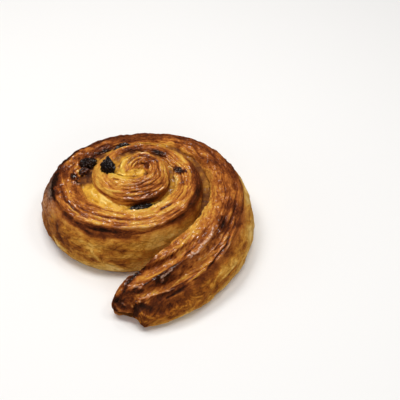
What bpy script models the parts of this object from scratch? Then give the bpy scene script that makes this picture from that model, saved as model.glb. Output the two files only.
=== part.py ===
"""Pain aux raisins: a coil of laminated dough with custard and raisins.

One long ribbon of dough is wound clockwise, seen from above, from a small
hook at the eye to a broad tail that lies beside the coil and ends in two
lobes.  A sheet of custard fills the groove between the turns, and six
raisins sit in pockets in the dough and the custard.

A place along the ribbon is counted in turns: 0 is behind the eye (+Y),
0.25 is right of it (+X), 0.5 is in front of it and 0.75 is left of it.
Lengths in this file are millimetres, and MM turns them into metres.
"""
import math

import bmesh
import bpy
import numpy as np
from mathutils import Matrix, Vector

MM = 0.001
NAME = "pain_aux_raisins"

# Where the eye of the spiral stands, so that the object's box is centred on the origin.
EYE_X = -2.36
EYE_Y = 15.4

# The outer turns are wound round a second centre, left of the eye and behind it.
DRIFT_X = -5.0
DRIFT_Y = 3.0
DRIFT_FROM = 0.3
DRIFT_TO = 1.3

# The ribbon: turn, radius of its middle, width on top, lean of the outer wall,
# height of the inner shoulder, height of the outer rim.
RIBBON = np.array([
    (-0.20, 10.5, 7.0, 0.5, 37.0, 37.0),
    (0.00, 13.0, 12.5, 0.5, 39.0, 36.0),
    (0.25, 10.3, 11.5, 0.5, 39.5, 34.0),
    (0.50, 9.8, 13.2, 0.5, 39.0, 33.5),
    (0.62, 13.2, 14.5, 0.8, 38.0, 33.0),
    (0.75, 20.6, 12.5, 1.0, 36.0, 32.0),
    (1.00, 24.0, 9.6, 1.5, 35.5, 31.0),
    (1.25, 32.3, 14.0, 2.5, 30.5, 31.0),
    (1.50, 32.2, 17.5, 6.5, 28.5, 31.0),
    (1.75, 39.2, 17.0, 8.0, 28.5, 30.0),
    (2.00, 40.3, 11.5, 4.0, 29.0, 25.5),
    (2.25, 53.8, 18.0, 6.0, 29.0, 28.0),
    (2.33, 58.0, 20.0, 7.5, 29.5, 26.0),
    (2.40, 61.6, 22.0, 8.0, 28.0, 22.5),
    (2.45, 65.4, 20.0, 9.5, 24.5, 19.0),
    (2.49, 69.7, 16.5, 10.2, 18.5, 15.5),
])
RIBBON_START = -0.20
RIBBON_END = 2.49
STATIONS = 138
CROWN = 2.2
EDGE_ROUND = 3.0
EDGE_FROM = 0.55
START_ROUND = 3.5

# Where the points of a cross-section stand: across the top, down the outer wall,
# across the base, and up the inner wall.
ACROSS = (-1.0, -0.9, -0.72, -0.5, -0.25, 0.0, 0.25, 0.5, 0.72, 0.9, 1.0)
OUTER_WALL = (0.85, 0.6, 0.35, 0.15, 0.04, 0.0)
BASE = (0.25, 0.5, 0.75)
INNER_WALL = (0.0, 0.05, 0.4, 0.75)

# The tail's end: how far each offset from its middle line reaches past the last station.
TAIL_STEPS = (0.25, 0.5, 0.7, 0.85, 0.95)
TAIL_REACH = ((-8.2, 7.0), (-5.5, 11.0), (0.0, 14.0), (4.5, 13.0), (6.5, 10.0), (8.2, 4.0),
              (12.0, 5.0), (15.0, 3.5), (19.0, 0.5))
TAIL_TAPER = 0.1

# The custard: turn, height of its top.
CUSTARD = np.array([
    (0.30, 36.0),
    (0.60, 35.5),
    (0.75, 33.0),
    (1.00, 31.5),
    (1.25, 27.0),
    (1.50, 25.5),
    (1.75, 26.0),
    (2.00, 26.0),
    (2.20, 22.0),
    (2.37, 15.0),
])
CUSTARD_STATIONS = 104
CUSTARD_LEVELS = (0.0, 0.3, 0.65, 0.93, 1.0)
CLEARANCE = 0.4

# Raisins: middle (x, y, z) from the eye, half sizes, turn about Z, lean back, seed.
RAISINS = {
    "raisin_1": ((-19.4, 5.4, 39.2), (3.3, 2.9, 5.6), 0.0, 38.0, 3),
    "raisin_2": ((-32.6, 16.4, 29.8), (4.6, 3.4, 2.9), 20.0, 0.0, 5),
    "raisin_3": ((-34.8, 10.0, 29.0), (2.9, 2.6, 2.3), 60.0, 0.0, 8),
    "raisin_4": ((-13.6, 33.0, 28.8), (4.4, 2.8, 2.6), 20.0, 0.0, 13),
    "raisin_5": ((-0.6, -17.6, 25.6), (5.2, 2.4, 2.0), 0.0, 0.0, 21),
    "raisin_6": ((21.9, 9.0, 31.4), (3.4, 2.4, 2.2), -30.0, 0.0, 34),
}
RAISIN_AROUND = 12
RAISIN_RINGS = 7
RAISIN_CREASE = 0.09
POCKET_GAP = 0.45


def ease(low, high, value):
    """A smooth step from 0 at low to 1 at high."""
    u = np.clip((value - low) / (high - low), 0.0, 1.0)
    return u * u * (3.0 - 2.0 * u)


def table(turn, rows, column):
    """A smooth curve through one column of a table whose first column is the turn."""
    x = rows[:, 0]
    y = rows[:, column]
    step = np.diff(x)
    slope = np.diff(y) / step
    tangent = np.empty_like(y)
    tangent[0] = slope[0]
    tangent[-1] = slope[-1]
    tangent[1:-1] = (slope[:-1] * step[1:] + slope[1:] * step[:-1]) / (step[:-1] + step[1:])
    i = np.clip(np.searchsorted(x, turn, side="right") - 1, 0, len(x) - 2)
    h = step[i]
    u = (turn - x[i]) / h
    left = (2 * u**3 - 3 * u**2 + 1) * y[i] + (u**3 - 2 * u**2 + u) * h * tangent[i]
    right = (3 * u**2 - 2 * u**3) * y[i + 1] + (u**3 - u**2) * h * tangent[i + 1]
    return left + right


def middle(turn):
    """The ribbon's middle line in plan, from the eye."""
    drift = ease(DRIFT_FROM, DRIFT_TO, turn)
    radius = table(turn, RIBBON, 1)
    angle = 2.0 * math.pi * turn
    return np.stack([DRIFT_X * drift + radius * np.sin(angle),
                     DRIFT_Y * drift + radius * np.cos(angle)], axis=-1)


def plan(turn):
    """Middle, direction of travel and outward direction at each turn."""
    step = 0.002
    along = middle(turn + step) - middle(turn - step)
    along = along / np.linalg.norm(along, axis=-1, keepdims=True)
    outward = np.stack([-along[..., 1], along[..., 0]], axis=-1)
    return middle(turn), along, outward


def bulge(level):
    """How much of the lean the outer wall has at a level between floor (0) and rim (1)."""
    above = 1.0 - (np.maximum(level - 0.35, 0.0) / 0.65) ** 2
    below = 1.0 - 0.4 * (np.maximum(0.35 - level, 0.0) / 0.35) ** 2
    return above * below


def outer_offset(turn, level):
    """Distance from the middle line to the outer wall."""
    return 0.5 * table(turn, RIBBON, 2) + table(turn, RIBBON, 3) * bulge(level)


def inner_offset(turn, level):
    """Distance from the middle line to the inner wall, negative towards the eye."""
    return -0.5 * table(turn, RIBBON, 2) + 0.6 * np.maximum(0.15 - level, 0.0) / 0.15


def relief(q, turn):
    """Two troughs and the ridge between them, which run down the tail."""
    slide = ease(2.33, 2.49, turn)
    spread = 0.30 - 0.16 * ease(2.33, 2.40, turn)
    ridge = 1.5 * np.exp(-((q - 0.15 + 0.4 * slide) / spread) ** 2)
    ridge = ridge * ease(2.22, 2.33, turn)
    trough_a = 3.0 * np.exp(-((q + 0.52 + 0.1 * slide) / 0.18) ** 2)
    trough_a = trough_a * ease(2.25, 2.36, turn) * (1.0 - 0.8 * ease(2.45, 2.49, turn))
    trough_b = 2.8 * np.exp(-((q - 0.8 + 0.5 * slide) / (0.13 + 0.10 * slide)) ** 2)
    trough_b = trough_b * ease(2.27, 2.36, turn)
    return ridge - trough_a - trough_b


def top_height(q, turn):
    """Height of the ribbon's top at q, from -1 on the inner shoulder to 1 on the rim."""
    inner = table(turn, RIBBON, 4)
    rim = table(turn, RIBBON, 5)
    edge = np.maximum(np.abs(q) - EDGE_FROM, 0.0) / (1.0 - EDGE_FROM)
    drop = EDGE_ROUND * (1.0 - np.sqrt(np.maximum(1.0 - edge**2, 0.0)))
    sheared = inner + (rim - inner) * 0.5 * (q + 1.0)
    return sheared + CROWN * (1.0 - q**2) - drop + relief(q, turn)


def sections(turn):
    """Offset and height of every point of the cross-sections at an array of turns."""
    offset = []
    height = []
    half = 0.5 * table(turn, RIBBON, 2)
    for q in ACROSS:
        offset.append(half * q)
        height.append(top_height(q, turn))
    rim = top_height(1.0, turn)
    for level in OUTER_WALL:
        offset.append(outer_offset(turn, level))
        height.append(rim * level)
    for part in BASE:
        offset.append((1.0 - part) * outer_offset(turn, 0.0) + part * inner_offset(turn, 0.0))
        height.append(0.0 * rim)
    shoulder = top_height(-1.0, turn)
    for level in INNER_WALL:
        offset.append(inner_offset(turn, level))
        height.append(shoulder * level)
    return np.stack(offset, axis=1), np.stack(height, axis=1)


def loops_to_mesh(name, loops):
    """A closed tube through loops of points (stations, points, xyz), capped at both ends."""
    stations, count, _ = loops.shape
    shell = bmesh.new()
    rows = []
    for loop in loops:
        rows.append([shell.verts.new(Vector(point) * MM) for point in loop])
    for i in range(stations - 1):
        for j in range(count):
            k = (j + 1) % count
            shell.faces.new((rows[i][j], rows[i][k], rows[i + 1][k], rows[i + 1][j]))
    shell.faces.new(list(reversed(rows[0])))
    shell.faces.new(rows[-1])
    bmesh.ops.recalc_face_normals(shell, faces=shell.faces)
    bmesh.ops.triangulate(shell, faces=[f for f in shell.faces if len(f.verts) > 4])
    mesh = bpy.data.meshes.new(name)
    shell.to_mesh(mesh)
    shell.free()
    return bpy.data.objects.new(name, mesh)


def ribbon_loops():
    """The dough's loops: rounded start, spiral, and the two lobes of the tail."""
    turn = np.linspace(RIBBON_START, RIBBON_END, STATIONS)
    point, along, outward = plan(turn)
    offset, height = sections(turn)
    body = np.dstack([point[:, None, :] + offset[:, :, None] * outward[:, None, :], height])

    start = []
    for u in (0.04, 0.2, 0.45, 0.75):
        narrow = math.sqrt(1.0 - (1.0 - u) ** 2)
        back = point[0] - along[0] * START_ROUND * (1.0 - u)
        flat = back[None, :] + offset[0][:, None] * narrow * outward[0][None, :]
        start.append(np.column_stack([flat, height[0] * (0.94 + 0.06 * narrow)]))

    reach = np.interp(offset[-1], [a for a, _ in TAIL_REACH], [b for _, b in TAIL_REACH])
    end = []
    for v in TAIL_STEPS:
        side = offset[-1] * (1.0 - TAIL_TAPER * v * v)
        travel = reach * math.sin(0.5 * math.pi * v) * (0.75 + 0.25 * ease(0.0, 6.0, height[-1]))
        flat = point[-1] + travel[:, None] * along[-1] + side[:, None] * outward[-1]
        end.append(np.column_stack([flat, height[-1] * math.sqrt(1.0 - v * v)]))
    return np.concatenate([np.array(start), body, np.array(end)])


def custard_loops():
    """The custard's loops: each spans from one turn's inner wall to the turn inside it."""
    turn = np.linspace(CUSTARD[0, 0], CUSTARD[-1, 0], CUSTARD_STATIONS)
    point, _, outward = plan(turn)
    top = table(turn, CUSTARD, 1)

    inside = np.linspace(0.24, RIBBON_START, 40)
    cap = np.linspace(-0.5 * math.pi, 0.5 * math.pi, 13)[1:-1]
    outside = np.linspace(RIBBON_START, 1.45, 700)
    first, first_along, first_out = plan(np.array([RIBBON_START]))
    half = 0.5 * RIBBON[0, 2]

    def far_side(level_height):
        """The boundary of the inner turn at a height: inner wall, start, outer wall."""
        p, _, n = plan(inside)
        wall = p + n * (inner_offset(inside, 1.0) - CLEARANCE)[:, None]
        arc = (first - first_along * ((START_ROUND + 2.0 * CLEARANCE) * np.cos(cap))[:, None]
               + first_out * ((half + 2.0 * CLEARANCE) * np.sin(cap))[:, None])
        p, _, n = plan(outside)
        level = np.clip(level_height / top_height(1.0, outside), 0.0, 1.0)
        skin = p + n * (outer_offset(outside, level) + CLEARANCE)[:, None]
        return np.concatenate([wall, arc, skin])

    near_side = point + outward * inner_offset(turn, 1.0)[:, None]
    guide = far_side(28.0)
    switch = len(inside) + len(cap)
    match = np.empty(len(turn))
    early = turn < 0.80
    match[early] = np.interp(turn[early], [0.30, 0.60, 0.74, 0.80],
                             [0.0, len(inside) - 1.0, switch, switch + 20.0])
    for i in np.nonzero(~early)[0]:
        window = np.nonzero(np.abs(outside - turn[i] + 1.0) < 0.1)[0] + switch
        distance = np.linalg.norm(guide[window] - near_side[i], axis=1)
        match[i] = window[int(np.argmin(distance))]
    match = np.maximum.accumulate(match)

    near = []
    far = []
    for level in CUSTARD_LEVELS:
        z = top * level
        fraction = np.clip(z / top_height(-1.0, turn), 0.0, 1.0)
        wall = point + outward * (inner_offset(turn, fraction) - CLEARANCE)[:, None]
        near.append(np.column_stack([wall, z]))
        stack = np.empty((len(turn), 2))
        for i in range(len(turn)):
            line = far_side(z[i])
            stack[i, 0] = np.interp(match[i], np.arange(len(line)), line[:, 0])
            stack[i, 1] = np.interp(match[i], np.arange(len(line)), line[:, 1])
        far.append(np.column_stack([stack, z]))
    return np.stack(near + list(reversed(far)), axis=1)


def lump(name, size, crease, seed, grow):
    """A wrinkled oval body round its own middle, made larger by grow all over."""
    rng = np.random.default_rng(seed)
    waves = rng.uniform(0.0, 2.0 * math.pi, 6)
    count = rng.integers(2, 5, 3)
    body = bmesh.new()
    bmesh.ops.create_uvsphere(body, u_segments=RAISIN_AROUND, v_segments=RAISIN_RINGS,
                              radius=1.0)
    for vertex in body.verts:
        x, y, z = vertex.co
        around = math.atan2(y, x)
        ripple = (math.sin(count[0] * around + waves[0]) * (1.0 - z * z)
                  + 0.7 * math.sin(3.0 * z + waves[1])
                  + 0.6 * math.sin(count[1] * around + 2.0 * z + waves[2]) * (1.0 - z * z))
        factor = 1.0 + crease * ripple
        vertex.co = Vector(((size[0] * factor + grow) * x * MM,
                            (size[1] * factor + grow) * y * MM,
                            (size[2] * factor + grow) * z * MM))
    bmesh.ops.recalc_face_normals(body, faces=body.faces)
    mesh = bpy.data.meshes.new(name)
    body.to_mesh(mesh)
    body.free()
    return bpy.data.objects.new(name, mesh)


def bake(thing, placement):
    """Puts an object's place into its mesh."""
    thing.data.transform(placement)
    return thing


def material(name, colour, roughness):
    """A plain food material."""
    made = bpy.data.materials.new(name)
    made.use_nodes = True
    shader = made.node_tree.nodes["Principled BSDF"]
    shader.inputs["Base Color"].default_value = (*colour, 1.0)
    shader.inputs["Roughness"].default_value = roughness
    shader.inputs["Metallic"].default_value = 0.0
    made.diffuse_color = (*colour, 1.0)
    return made


def cut_pockets(target, cutters):
    """Cuts every pocket out of the target with exact Booleans."""
    for cutter in cutters:
        cut = target.modifiers.new("pocket_" + cutter.name, "BOOLEAN")
        cut.operation = "DIFFERENCE"
        cut.solver = "EXACT"
        cut.object = cutter


def main():
    for thing in list(bpy.data.objects):
        bpy.data.objects.remove(thing, do_unlink=True)
    whole = bpy.data.collections.new(NAME)
    bpy.context.scene.collection.children.link(whole)
    tools = bpy.data.collections.new("cutters")
    tools.hide_render = True
    bpy.context.scene.collection.children.link(tools)

    to_eye = Matrix.Translation(Vector((EYE_X, EYE_Y, 0.0)) * MM)
    dough = bake(loops_to_mesh("dough", ribbon_loops()), to_eye)
    dough.data.materials.append(material("baked_dough", (0.55, 0.26, 0.07), 0.42))
    whole.objects.link(dough)

    custard = bake(loops_to_mesh("custard", custard_loops()), to_eye)
    custard.data.materials.append(material("baked_custard", (0.72, 0.42, 0.08), 0.35))
    whole.objects.link(custard)

    skin = material("raisin_skin", (0.016, 0.009, 0.007), 0.38)
    cutters = []
    for name, (place, size, turn, lean, seed) in RAISINS.items():
        move = (to_eye @ Matrix.Translation(Vector(place) * MM)
                @ Matrix.Rotation(math.radians(turn), 4, "Z")
                @ Matrix.Rotation(math.radians(-lean), 4, "X"))
        raisin = bake(lump(name, size, RAISIN_CREASE, seed, 0.0), move)
        raisin.data.materials.append(skin)
        whole.objects.link(raisin)
        pocket = bake(lump("pocket_" + name, size, RAISIN_CREASE, seed, POCKET_GAP), move)
        pocket.hide_render = True
        pocket.display_type = "WIRE"
        tools.objects.link(pocket)
        cutters.append(pocket)
    cut_pockets(dough, cutters)
    cut_pockets(custard, cutters)


main()
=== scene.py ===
# %% [markdown]
# # A coiled raisin pastry
# The pastry is one long ribbon of laminated dough, wound into a coil, with custard
# baked into the groove between its turns and raisins pressed into both.  The packed
# CAD model gives the true sizes.  This lesson dresses it: every visible surface is
# worked out as a grid of points with numpy, and coloured with procedural materials.

# %% Load the frame
import math

import bpy
import numpy as np
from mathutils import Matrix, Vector


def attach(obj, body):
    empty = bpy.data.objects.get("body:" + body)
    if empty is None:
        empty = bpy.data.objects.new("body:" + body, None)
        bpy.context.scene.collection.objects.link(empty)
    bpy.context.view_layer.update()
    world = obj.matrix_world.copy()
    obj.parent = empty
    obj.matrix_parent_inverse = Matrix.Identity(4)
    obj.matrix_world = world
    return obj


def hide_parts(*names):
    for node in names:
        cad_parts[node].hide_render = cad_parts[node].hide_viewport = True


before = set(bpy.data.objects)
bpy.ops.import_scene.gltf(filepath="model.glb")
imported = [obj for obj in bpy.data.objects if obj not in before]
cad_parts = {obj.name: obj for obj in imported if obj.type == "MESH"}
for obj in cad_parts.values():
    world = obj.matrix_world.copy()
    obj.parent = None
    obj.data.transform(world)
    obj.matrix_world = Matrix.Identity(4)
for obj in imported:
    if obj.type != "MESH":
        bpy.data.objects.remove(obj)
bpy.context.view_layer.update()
MM = 0.001


def tell(what, value, unit="", digits=1):
    """Prints one measured value."""
    print(what, round(float(value), digits), unit)


# %% [markdown]
# ## The camera
# A camera's view can be worked out from the photograph: how far down it looks, how
# far away it stands, and how many millimetres one pixel covers.  Guessing by eye
# would also work, but then every later comparison is a little off.  Here the lens
# follows from the distance and the scale, so the pastry is as large in the frame as
# it is in the photograph.

# %% Camera
EYE = np.array([-2.36, 15.4])
AIM_FROM_EYE = np.array([33.695, 15.770])
LOOK_DOWN = math.radians(45.0)
DISTANCE_MM = 500.0
MM_PER_PIXEL = 0.62
FRAME_PIXELS = 400
SENSOR_MM = 36.0
AIM_MM = np.array([*(AIM_FROM_EYE + EYE), 0.0])

camera_data = bpy.data.cameras.new("camera")
camera_data.sensor_width = SENSOR_MM
camera_data.lens = SENSOR_MM * (DISTANCE_MM / MM_PER_PIXEL) / FRAME_PIXELS
camera_data.clip_start = 0.01
camera_data.clip_end = 20.0
camera = bpy.data.objects.new("camera", camera_data)
bpy.context.scene.collection.objects.link(camera)
back_off = np.array([0.0, -math.cos(LOOK_DOWN), math.sin(LOOK_DOWN)]) * DISTANCE_MM
camera.location = Vector((AIM_MM + back_off) * MM)
camera.rotation_euler = (math.pi / 2.0 - LOOK_DOWN, 0.0, 0.0)
bpy.context.scene.camera = camera
tell("lens", camera_data.lens, "mm")

# %% [markdown]
# ## Noise as arrays
# Baked dough is uneven at every size.  A small noise function that takes whole
# arrays gives that unevenness to thousands of points at once.  It hashes the corners
# of the cell that a point falls in and blends between them.  Blender has its own
# noise calls, but they take one point at a time, which would be slow here.

# %% Noise helpers
CELL_FACTORS = (374761393, 668265263, 1440662683, 1274126177)
MIX_FACTORS = (1103515245, 2246822519)
MIX_STEP = 12345
WORD = 0xFFFFFFFF
LOW_BITS = 0xFFFFFF


def hash_cell(i, j, k, seed):
    """A number from 0 to 1 for each integer cell: multiply, fold and mix the bits."""
    n = sum(part * factor for part, factor in zip((i, j, k, seed), CELL_FACTORS)) & WORD
    n = ((n ^ (n >> 13)) * MIX_FACTORS[0] + MIX_STEP) & WORD
    n = ((n ^ (n >> 15)) * MIX_FACTORS[1]) & WORD
    return ((n ^ (n >> 16)) & LOW_BITS) / float(LOW_BITS)


def noise(x, y, z=0.0, seed=0):
    """Smooth noise from -1 to 1: the hashes of a cell's 8 corners, blended by smoothstep."""
    x, y, z = np.broadcast_arrays(*(np.asarray(v, float) for v in (x, y, z)))
    base = [np.floor(v).astype(np.int64) for v in (x, y, z)]
    u, v, w = (s * s * (3.0 - 2.0 * s) for s in (x - base[0], y - base[1], z - base[2]))
    total = np.zeros(x.shape)
    for corner in range(8):
        a, b, c = corner & 1, (corner >> 1) & 1, corner >> 2
        weight = (u if a else 1 - u) * (v if b else 1 - v) * (w if c else 1 - w)
        total += weight * hash_cell(base[0] + a, base[1] + b, base[2] + c, seed)
    return 2.0 * total - 1.0


def layered(x, y, z=0.0, seed=0, octaves=3):
    """Noise added at doubled frequency and halved strength, octaves times."""
    total = 0.0
    for n in range(octaves):
        total = total + 0.5**n * noise(x * 2**n, y * 2**n, z * 2.0**n, seed + 17 * n)
    return total / (2.0 - 0.5 ** (octaves - 1))


def creased(x, y, z=0.0, seed=0, octaves=3):
    """Sharp ridges at 1 and wide valleys at 0: one minus the size of the noise."""
    total = 0.0
    for n in range(octaves):
        sheet = 1.0 - np.abs(noise(x * 2**n, y * 2**n, z * 2.0**n, seed + 31 * n))
        total = total + 0.5**n * sheet**2
    return total / (2.0 - 0.5 ** (octaves - 1))


def pillow(x, y, z=0.0, seed=0, crack=0.22):
    """Rounded cushions at 1 parted by narrow cracks at 0: one minus a bell round zero noise."""
    return 1.0 - np.exp(-((noise(x, y, z, seed) / crack) ** 2))


def ease(low, high, value):
    """A smooth step from 0 at low to 1 at high."""
    u = np.clip((value - low) / (high - low), 0.0, 1.0)
    return u * u * (3.0 - 2.0 * u)


def bump(value, middle, width):
    """A bell of height 1 at middle, with the given width."""
    return np.exp(-(((value - middle) / width) ** 2))


tell("noise at one point", noise([0.3], 0.6, 0.9)[0], digits=3)

# %% [markdown]
# ## The ribbon's path
# A coil is easiest to think of in turns: turn 0 lies behind the eye, 0.25 to its
# right, 0.5 in front and 0.75 to its left.  A table says, at a few turns, how far
# out the ribbon runs, how wide and how high it is, and a smooth curve joins the
# rows.  Apart from the start and the tip, the rows are the CAD ribbon's, so the
# dressed pastry keeps its size.

# %% Ribbon table
RIBBON = np.array([  # turn, radius, width, lean of outer wall, inner height, rim height
    (-0.2, 10.5, 7, 0.5, 37.4, 36.2),
    (-0.1, 11.6, 10, 0.5, 39, 36.6),
    (0, 13, 12.5, 0.5, 39, 36),
    (0.25, 10.3, 11.5, 0.5, 39.5, 34),
    (0.5, 9.8, 13.2, 0.5, 39, 33.5),
    (0.62, 13.2, 14.5, 0.8, 38, 33),
    (0.75, 20.6, 12.5, 1, 36, 32),
    (1, 24, 9.6, 1.5, 35.5, 31),
    (1.25, 32.3, 14, 2.5, 30.5, 31),
    (1.5, 32.2, 17.5, 6.5, 28.5, 31),
    (1.75, 39.2, 17, 8, 28.5, 30),
    (2, 40.3, 11.5, 4, 29, 25.5),
    (2.25, 53.8, 18, 6, 29, 28),
    (2.33, 58, 20, 7.5, 29.5, 26),
    (2.4, 61.6, 22, 8, 28, 22.5),
    (2.45, 65.4, 20, 9.5, 24.5, 19),
    (2.49, 69.7, 16.5, 9, 18.5, 15.5),
])
SHOULDER = np.array([  # turn, how far the inner shoulder spreads over the custard
    (-0.2, 4.6), (-0.1, 3.9), (0, 1.8), (0.1, 2.7), (0.2, 2.5), (0.32, 1), (0.45, 0.3), (0.6, 1.2),
    (0.72, 0.8), (0.85, 0), (1, 0.3), (1.12, 1.2), (1.25, 2), (1.38, 1.2), (1.5, 0.4), (1.65, 0),
    (1.78, 0.8), (1.88, 2), (1.98, 2), (2.08, 1), (2.2, 0.5), (2.3, 1), (2.38, 1.8), (2.44, 1.6),
    (2.49, 0.4),
])
DRIFT = np.array([-5.0, 3.0])
DRIFT_TURNS = (0.3, 1.3)
PATH_STEP = 0.002


def table(turn, rows, column):
    """A smooth curve through one column of a table: cubic pieces with matched slopes."""
    x, y = rows[:, 0], rows[:, column]
    step = np.diff(x)
    slope = np.diff(y) / step
    tangent = np.empty_like(y)
    tangent[0], tangent[-1] = slope[0], slope[-1]
    tangent[1:-1] = (slope[:-1] * step[1:] + slope[1:] * step[:-1]) / (step[:-1] + step[1:])
    i = np.clip(np.searchsorted(x, turn, side="right") - 1, 0, len(x) - 2)
    h = step[i]
    u = (turn - x[i]) / h
    left = (2 * u**3 - 3 * u**2 + 1) * y[i] + (u**3 - 2 * u**2 + u) * h * tangent[i]
    right = (3 * u**2 - 2 * u**3) * y[i + 1] + (u**3 - u**2) * h * tangent[i + 1]
    return left + right


def held(turn, rows, column):
    """The same curve, kept at its first and last value outside the table's turns."""
    return table(np.clip(turn, rows[0, 0], rows[-1, 0]), rows, column)


def middle(turn):
    """The ribbon's middle line: a circle of changing radius round a slowly moving centre."""
    angle = 2.0 * math.pi * turn
    radius = table(turn, RIBBON, 1)
    drift = ease(*DRIFT_TURNS, turn)[..., None] * DRIFT
    return EYE + drift + np.stack([radius * np.sin(angle), radius * np.cos(angle)], axis=-1)


def plan(turn):
    """Middle, direction of travel and outward direction, from two nearby points."""
    along = middle(turn + PATH_STEP) - middle(turn - PATH_STEP)
    along = along / np.linalg.norm(along, axis=-1, keepdims=True)
    return middle(turn), along, np.stack([-along[..., 1], along[..., 0]], axis=-1)


print("ribbon from turn", RIBBON[0, 0], "to", RIBBON[-1, 0])

# %% [markdown]
# The cross-section is described by distances from the middle line.  The outer wall
# leans out to a belly a third of the way up and comes back in at the rim and at the
# foot.  The inner wall is tucked in at the floor and spreads over the custard at the
# top.

# %% Cross-section
BELLY_LEVEL = 0.35
FOOT_TUCK = 0.4
FLOOR_TUCK_MM = 0.6
FLOOR_TUCK_LEVEL = 0.15
SPREAD_LEVEL = 0.7


def bulge(level):
    """How much of its lean the outer wall has between floor (0) and rim (1)."""
    above = 1.0 - (np.maximum(level - BELLY_LEVEL, 0.0) / (1.0 - BELLY_LEVEL)) ** 2
    return above * (1.0 - FOOT_TUCK * (np.maximum(BELLY_LEVEL - level, 0.0) / BELLY_LEVEL) ** 2)


def outer_offset(turn, level):
    """Distance from the middle line to the outer wall: half the width plus the lean."""
    return 0.5 * table(turn, RIBBON, 2) + table(turn, RIBBON, 3) * bulge(level)


def inner_offset(turn, level):
    """Distance from the middle line to the inner wall: tucked in at the floor, spread at the top."""
    tuck = FLOOR_TUCK_MM * np.maximum(FLOOR_TUCK_LEVEL - level, 0.0) / FLOOR_TUCK_LEVEL
    spread = table(turn, SHOULDER, 1) * ease(SPREAD_LEVEL, 1.0, level)
    return -0.5 * table(turn, RIBBON, 2) + tuck - spread


def top_offset(turn, q):
    """Distance from the middle line to the top at q, the inner half stretched to the shoulder."""
    return 0.5 * table(turn, RIBBON, 2) * q - table(turn, SHOULDER, 1) * np.maximum(-q, 0.0) ** 2


tell("the wall in front stands off by", outer_offset(1.5, 0.5), "mm")

# %% [markdown]
# ## Terraces of the free end
# Where the ribbon leaves the coil its layers have opened into two long terraces with
# a glossy ridge between them.  Each terrace starts with a cliff on its inner side and
# rises again to a golden lip on its outer side.  A table says at a few turns where
# across the ribbon each starts and ends, and how deep its cliff is.  They are real
# shape, so they are added to the height.

# %% Relief of the tail
TAIL = np.array([  # turn, terrace A start, end, depth, ridge q, height, terrace B start, end, depth
    (2.2, -0.3, 0.05, 0, 0.1, 0, 0.4, 0.92, 0),
    (2.3, -0.3, 0.05, 0.3, 0.1, 0.5, 0.45, 0.95, 0.5),
    (2.36, -0.29, 0.05, 1, 0.12, 1.2, 0.48, 0.96, 1.8),
    (2.4, -0.33, 0.1, 2, 0.27, 2.2, 0.46, 0.96, 3),
    (2.43, -0.48, 0.14, 4.2, 0.32, 2.8, 0.46, 0.95, 4.4),
    (2.45, -0.62, 0.16, 4.4, 0.34, 2.8, 0.48, 0.94, 4.6),
    (2.47, -0.78, 0.16, 3.8, 0.35, 2.6, 0.48, 0.94, 4),
    (2.49, -0.9, 0.08, 0.8, 0.34, 1.6, 0.48, 0.94, 2),
])
TAIL_OPENS = (2.20, 2.25)
CLIFF = 0.07
RISE_AGAIN = 0.55
TERRACE_CLOSES = 0.75
RIDGE_WIDTH = 0.15
CROWN = 2.2
EDGE_ROUND = 3.0
EDGE_FROM = 0.55
SHARP_RIMS = ((0.40, 0.26, 0.65), (1.45, 0.25, 0.25))  # turn, width in turns, missing share of the rounding
END_LIP = (2.486, 0.005, 1.2)  # turn, width in turns, height in mm


def terrace_profile(q, start, end):
    """How far along a terrace q lies, from 0 to 1, and its profile: a cliff, then a slow rise."""
    u = (q - start) / (end - start)
    inside = ease(0.0, CLIFF, q - start) * (1.0 - ease(TERRACE_CLOSES, 1.0, u))
    return np.clip(u, 0.0, 1.0), inside * (1.0 - RISE_AGAIN * np.clip(u, 0.0, 1.0))


def tail_parts(q, turn):
    """Profiles of the ridge and of both terraces, with the place along each terrace."""
    start_a, end_a, place_r, start_b, end_b = (held(turn, TAIL, n) for n in (1, 2, 4, 6, 7))
    on = ease(*TAIL_OPENS, turn)
    along_a, dip_a = terrace_profile(q, start_a, end_a)
    along_b, dip_b = terrace_profile(q, start_b, end_b)
    return bump(q, place_r, RIDGE_WIDTH) * on, along_a, dip_a * on, along_b, dip_b * on


def top_height(q, turn):
    """Height of the top: a sheared plane plus a crown, minus the rounded edges, plus the tail's relief."""
    inner, rim = table(turn, RIBBON, 4), table(turn, RIBBON, 5)
    edge = np.maximum(np.abs(q) - EDGE_FROM, 0.0) / (1.0 - EDGE_FROM)
    sharp = np.where(q > 0.0, sum(part * bump(turn, at, width) for at, width, part in SHARP_RIMS), 0.0)
    drop = EDGE_ROUND * (1.0 - sharp) * (1.0 - np.sqrt(np.maximum(1.0 - edge**2, 0.0)))
    ridge, _, dip_a, _, dip_b = tail_parts(q, turn)
    relief = held(turn, TAIL, 5) * ridge - held(turn, TAIL, 3) * dip_a - held(turn, TAIL, 8) * dip_b
    lip_at, lip_width, lip_height = END_LIP
    on_inner_half = ease(-0.95, -0.7, q) * (1.0 - ease(0.0, 0.25, q))
    relief = relief + lip_height * bump(turn, lip_at, lip_width) * on_inner_half
    return inner + (rim - inner) * 0.5 * (q + 1.0) + CROWN * (1.0 - q**2) - drop + relief


tell("height of the free end", top_height(0.0, 2.45), "mm")

# %% [markdown]
# ## The dough's grid
# The ribbon's skin is a grid: one direction runs along the path, the other once
# round the cross-section.  Most of the points go to the top and the outer wall,
# which show, and few to the base and the inner wall, which hardly do.  Stations are
# spaced by the length of the rim, so the quads are as long at the eye as at the end.

# %% Grid of the ribbon
STATIONS = 790
TOP_POINTS = 64
WALL_POINTS = 31
BASE_POINTS = 15
INNER_POINTS = 7
EDGE_CROWDING = 1.25
INNER_CROWDING = 0.7
SOFTENING_PASSES = 3
SHARP_FOOT = 4

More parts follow.
